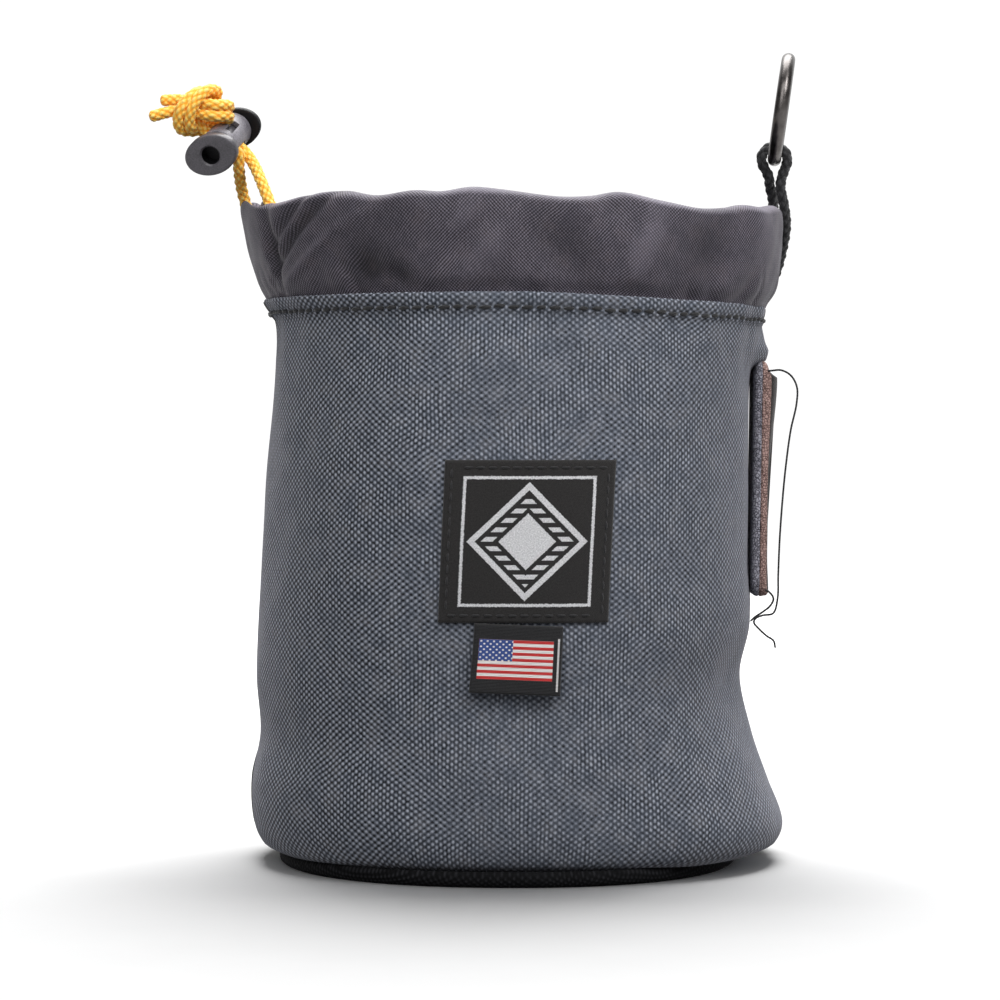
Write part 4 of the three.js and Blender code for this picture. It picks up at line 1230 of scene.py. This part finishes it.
THREAD = 0.6
LONG_THREAD = [
    (73.4, -11.0, 143.4), (75.2, -11.8, 143.6), (77.6, -12.4, 143.7), (80.4, -12.6, 142.2),
    (82.2, -12.8, 138.8), (82.1, -13.0, 134.0), (80.4, -13.2, 126.2), (79.0, -13.4, 116.0),
    (78.0, -13.6, 105.8), (77.2, -13.6, 94.2), (76.8, -13.6, 84.0), (76.6, -13.8, 77.0),
    (75.3, -14.2, 72.8), (72.2, -14.6, 72.2), (70.2, -15.0, 71.4), (69.6, -15.0, 70.2),
    (71.0, -14.8, 68.4), (73.4, -14.6, 66.2), (75.4, -14.6, 64.8), (75.9, -14.8, 62.6),
]
SHORT_THREAD = [
    (73.0, -11.6, 79.6), (74.4, -12.0, 78.8), (75.5, -12.4, 77.0), (74.6, -12.8, 75.0),
    (72.4, -13.2, 73.2), (69.9, -13.8, 71.6), (68.6, -14.2, 70.4),
]


def loose_threads():
    long_path, short_path = spline(LONG_THREAD, 0.5), spline(SHORT_THREAD, 0.5)
    free_cord(
        "loose_thread", long_path, THREAD, THREAD_YARNS, BLACK_THREAD, 8, "bare", "loose", slot="leather",
    )
    braided("thread_end", short_path, THREAD, THREAD_YARNS, BLACK_THREAD, 8, slot="leather")


wall_panel("front_cloth", False, GREY_CLOTH, "grey_cloth", "front_panel")
wall_panel("back_cloth", True, BLACK_CLOTH, "black_cloth", "back_panel")
hem_stitches()
base_plate()
collar()
drawstring()
ring()
ring_loop()
cord_lock()
side_tab()
label_and_tag()
loose_threads()


# Stage, in metres and watts

FLOOR_HALF = 6
BACKDROP_HALF, BACKDROP_TALL, BACKDROP_AWAY = 4, 4, 3
WORLD_LIGHT = 0.24
LIGHT_AIM = Vector((0, 0, 0.1))
# Lights: name, place, size, power and whether the floor is lit too.
LIGHTS = [
    ("key", (0.46, -0.52, 0.78), 0.36, 6.0, False),
    ("top", (0.05, 0.5, 1.2), 1.0, 25.0, True),
    ("fill", (-0.22, -0.85, 0.78), 0.7, 5.8, False),
]
CAMERA_PLACE = (-0.0044, -1.15, 0.135)
CAMERA_DOWN = 1.47
LENS, SENSOR = 140.3, 36


def flat_sheet(name, corners, material):
    mesh = bpy.data.meshes.new(name)
    mesh.from_pydata(corners, [], [(0, 1, 2, 3)])
    mesh.materials.append(material)
    made = linked(name, mesh)
    made.visible_diffuse = False


def floor_and_backdrop():
    look = Shader("floor", 0.9, Specular_IOR_Level=0.1, Emission_Color=(1, 1, 1, 1))
    spread = look.noise(look.place(), 30.0, 3.0)
    look.set("Base Color", look.mix(spread, (0.93, 0.93, 0.93, 1), (0.96, 0.96, 0.96, 1)))
    away = look.node("VectorMath", [look.place()], operation="LENGTH").outputs["Value"]
    look.set("Emission Strength", look.span(away, 0.35, 1.1, 0.0, 0.8))
    h = FLOOR_HALF
    flat_sheet("floor", [(-h, -h, 0), (h, -h, 0), (h, h, 0), (-h, h, 0)], look.material)
    look = Shader("backdrop", 1.0, Emission_Color=(1, 1, 1, 1), Emission_Strength=1.05)
    look.set("Base Color", (0, 0, 0, 1))
    h, y, top = BACKDROP_HALF, BACKDROP_AWAY, BACKDROP_TALL
    flat_sheet("backdrop", [(-h, y, 0), (h, y, 0), (h, y, top), (-h, y, top)], look.material)


def lights():
    world = bpy.data.worlds.new("studio")
    world.use_nodes = True
    sky = world.node_tree.nodes["Background"]
    sky.inputs["Color"].default_value = (1, 1, 1, 1)
    sky.inputs["Strength"].default_value = WORLD_LIGHT
    bpy.context.scene.world = world
    pieces = bpy.data.collections.new("pieces")
    for one in PIECES:
        pieces.objects.link(one)
    for name, place, size, power, on_floor in LIGHTS:
        lamp = bpy.data.lights.new(name, "AREA")
        lamp.size = size
        lamp.energy = power
        made = linked(name, lamp)
        made.location = place
        made.rotation_euler = (LIGHT_AIM - Vector(place)).to_track_quat("-Z", "Y").to_euler()
        if not on_floor:
            made.light_linking.receiver_collection = pieces


def camera():
    lens = bpy.data.cameras.new("camera")
    lens.lens = LENS
    lens.sensor_width = SENSOR
    made = linked("camera", lens)
    made.location = CAMERA_PLACE
    made.rotation_euler = (math.radians(90 - CAMERA_DOWN), 0, 0)
    bpy.context.scene.camera = made
    bpy.context.scene.view_settings.view_transform = "Standard"


floor_and_backdrop()
lights()
camera()
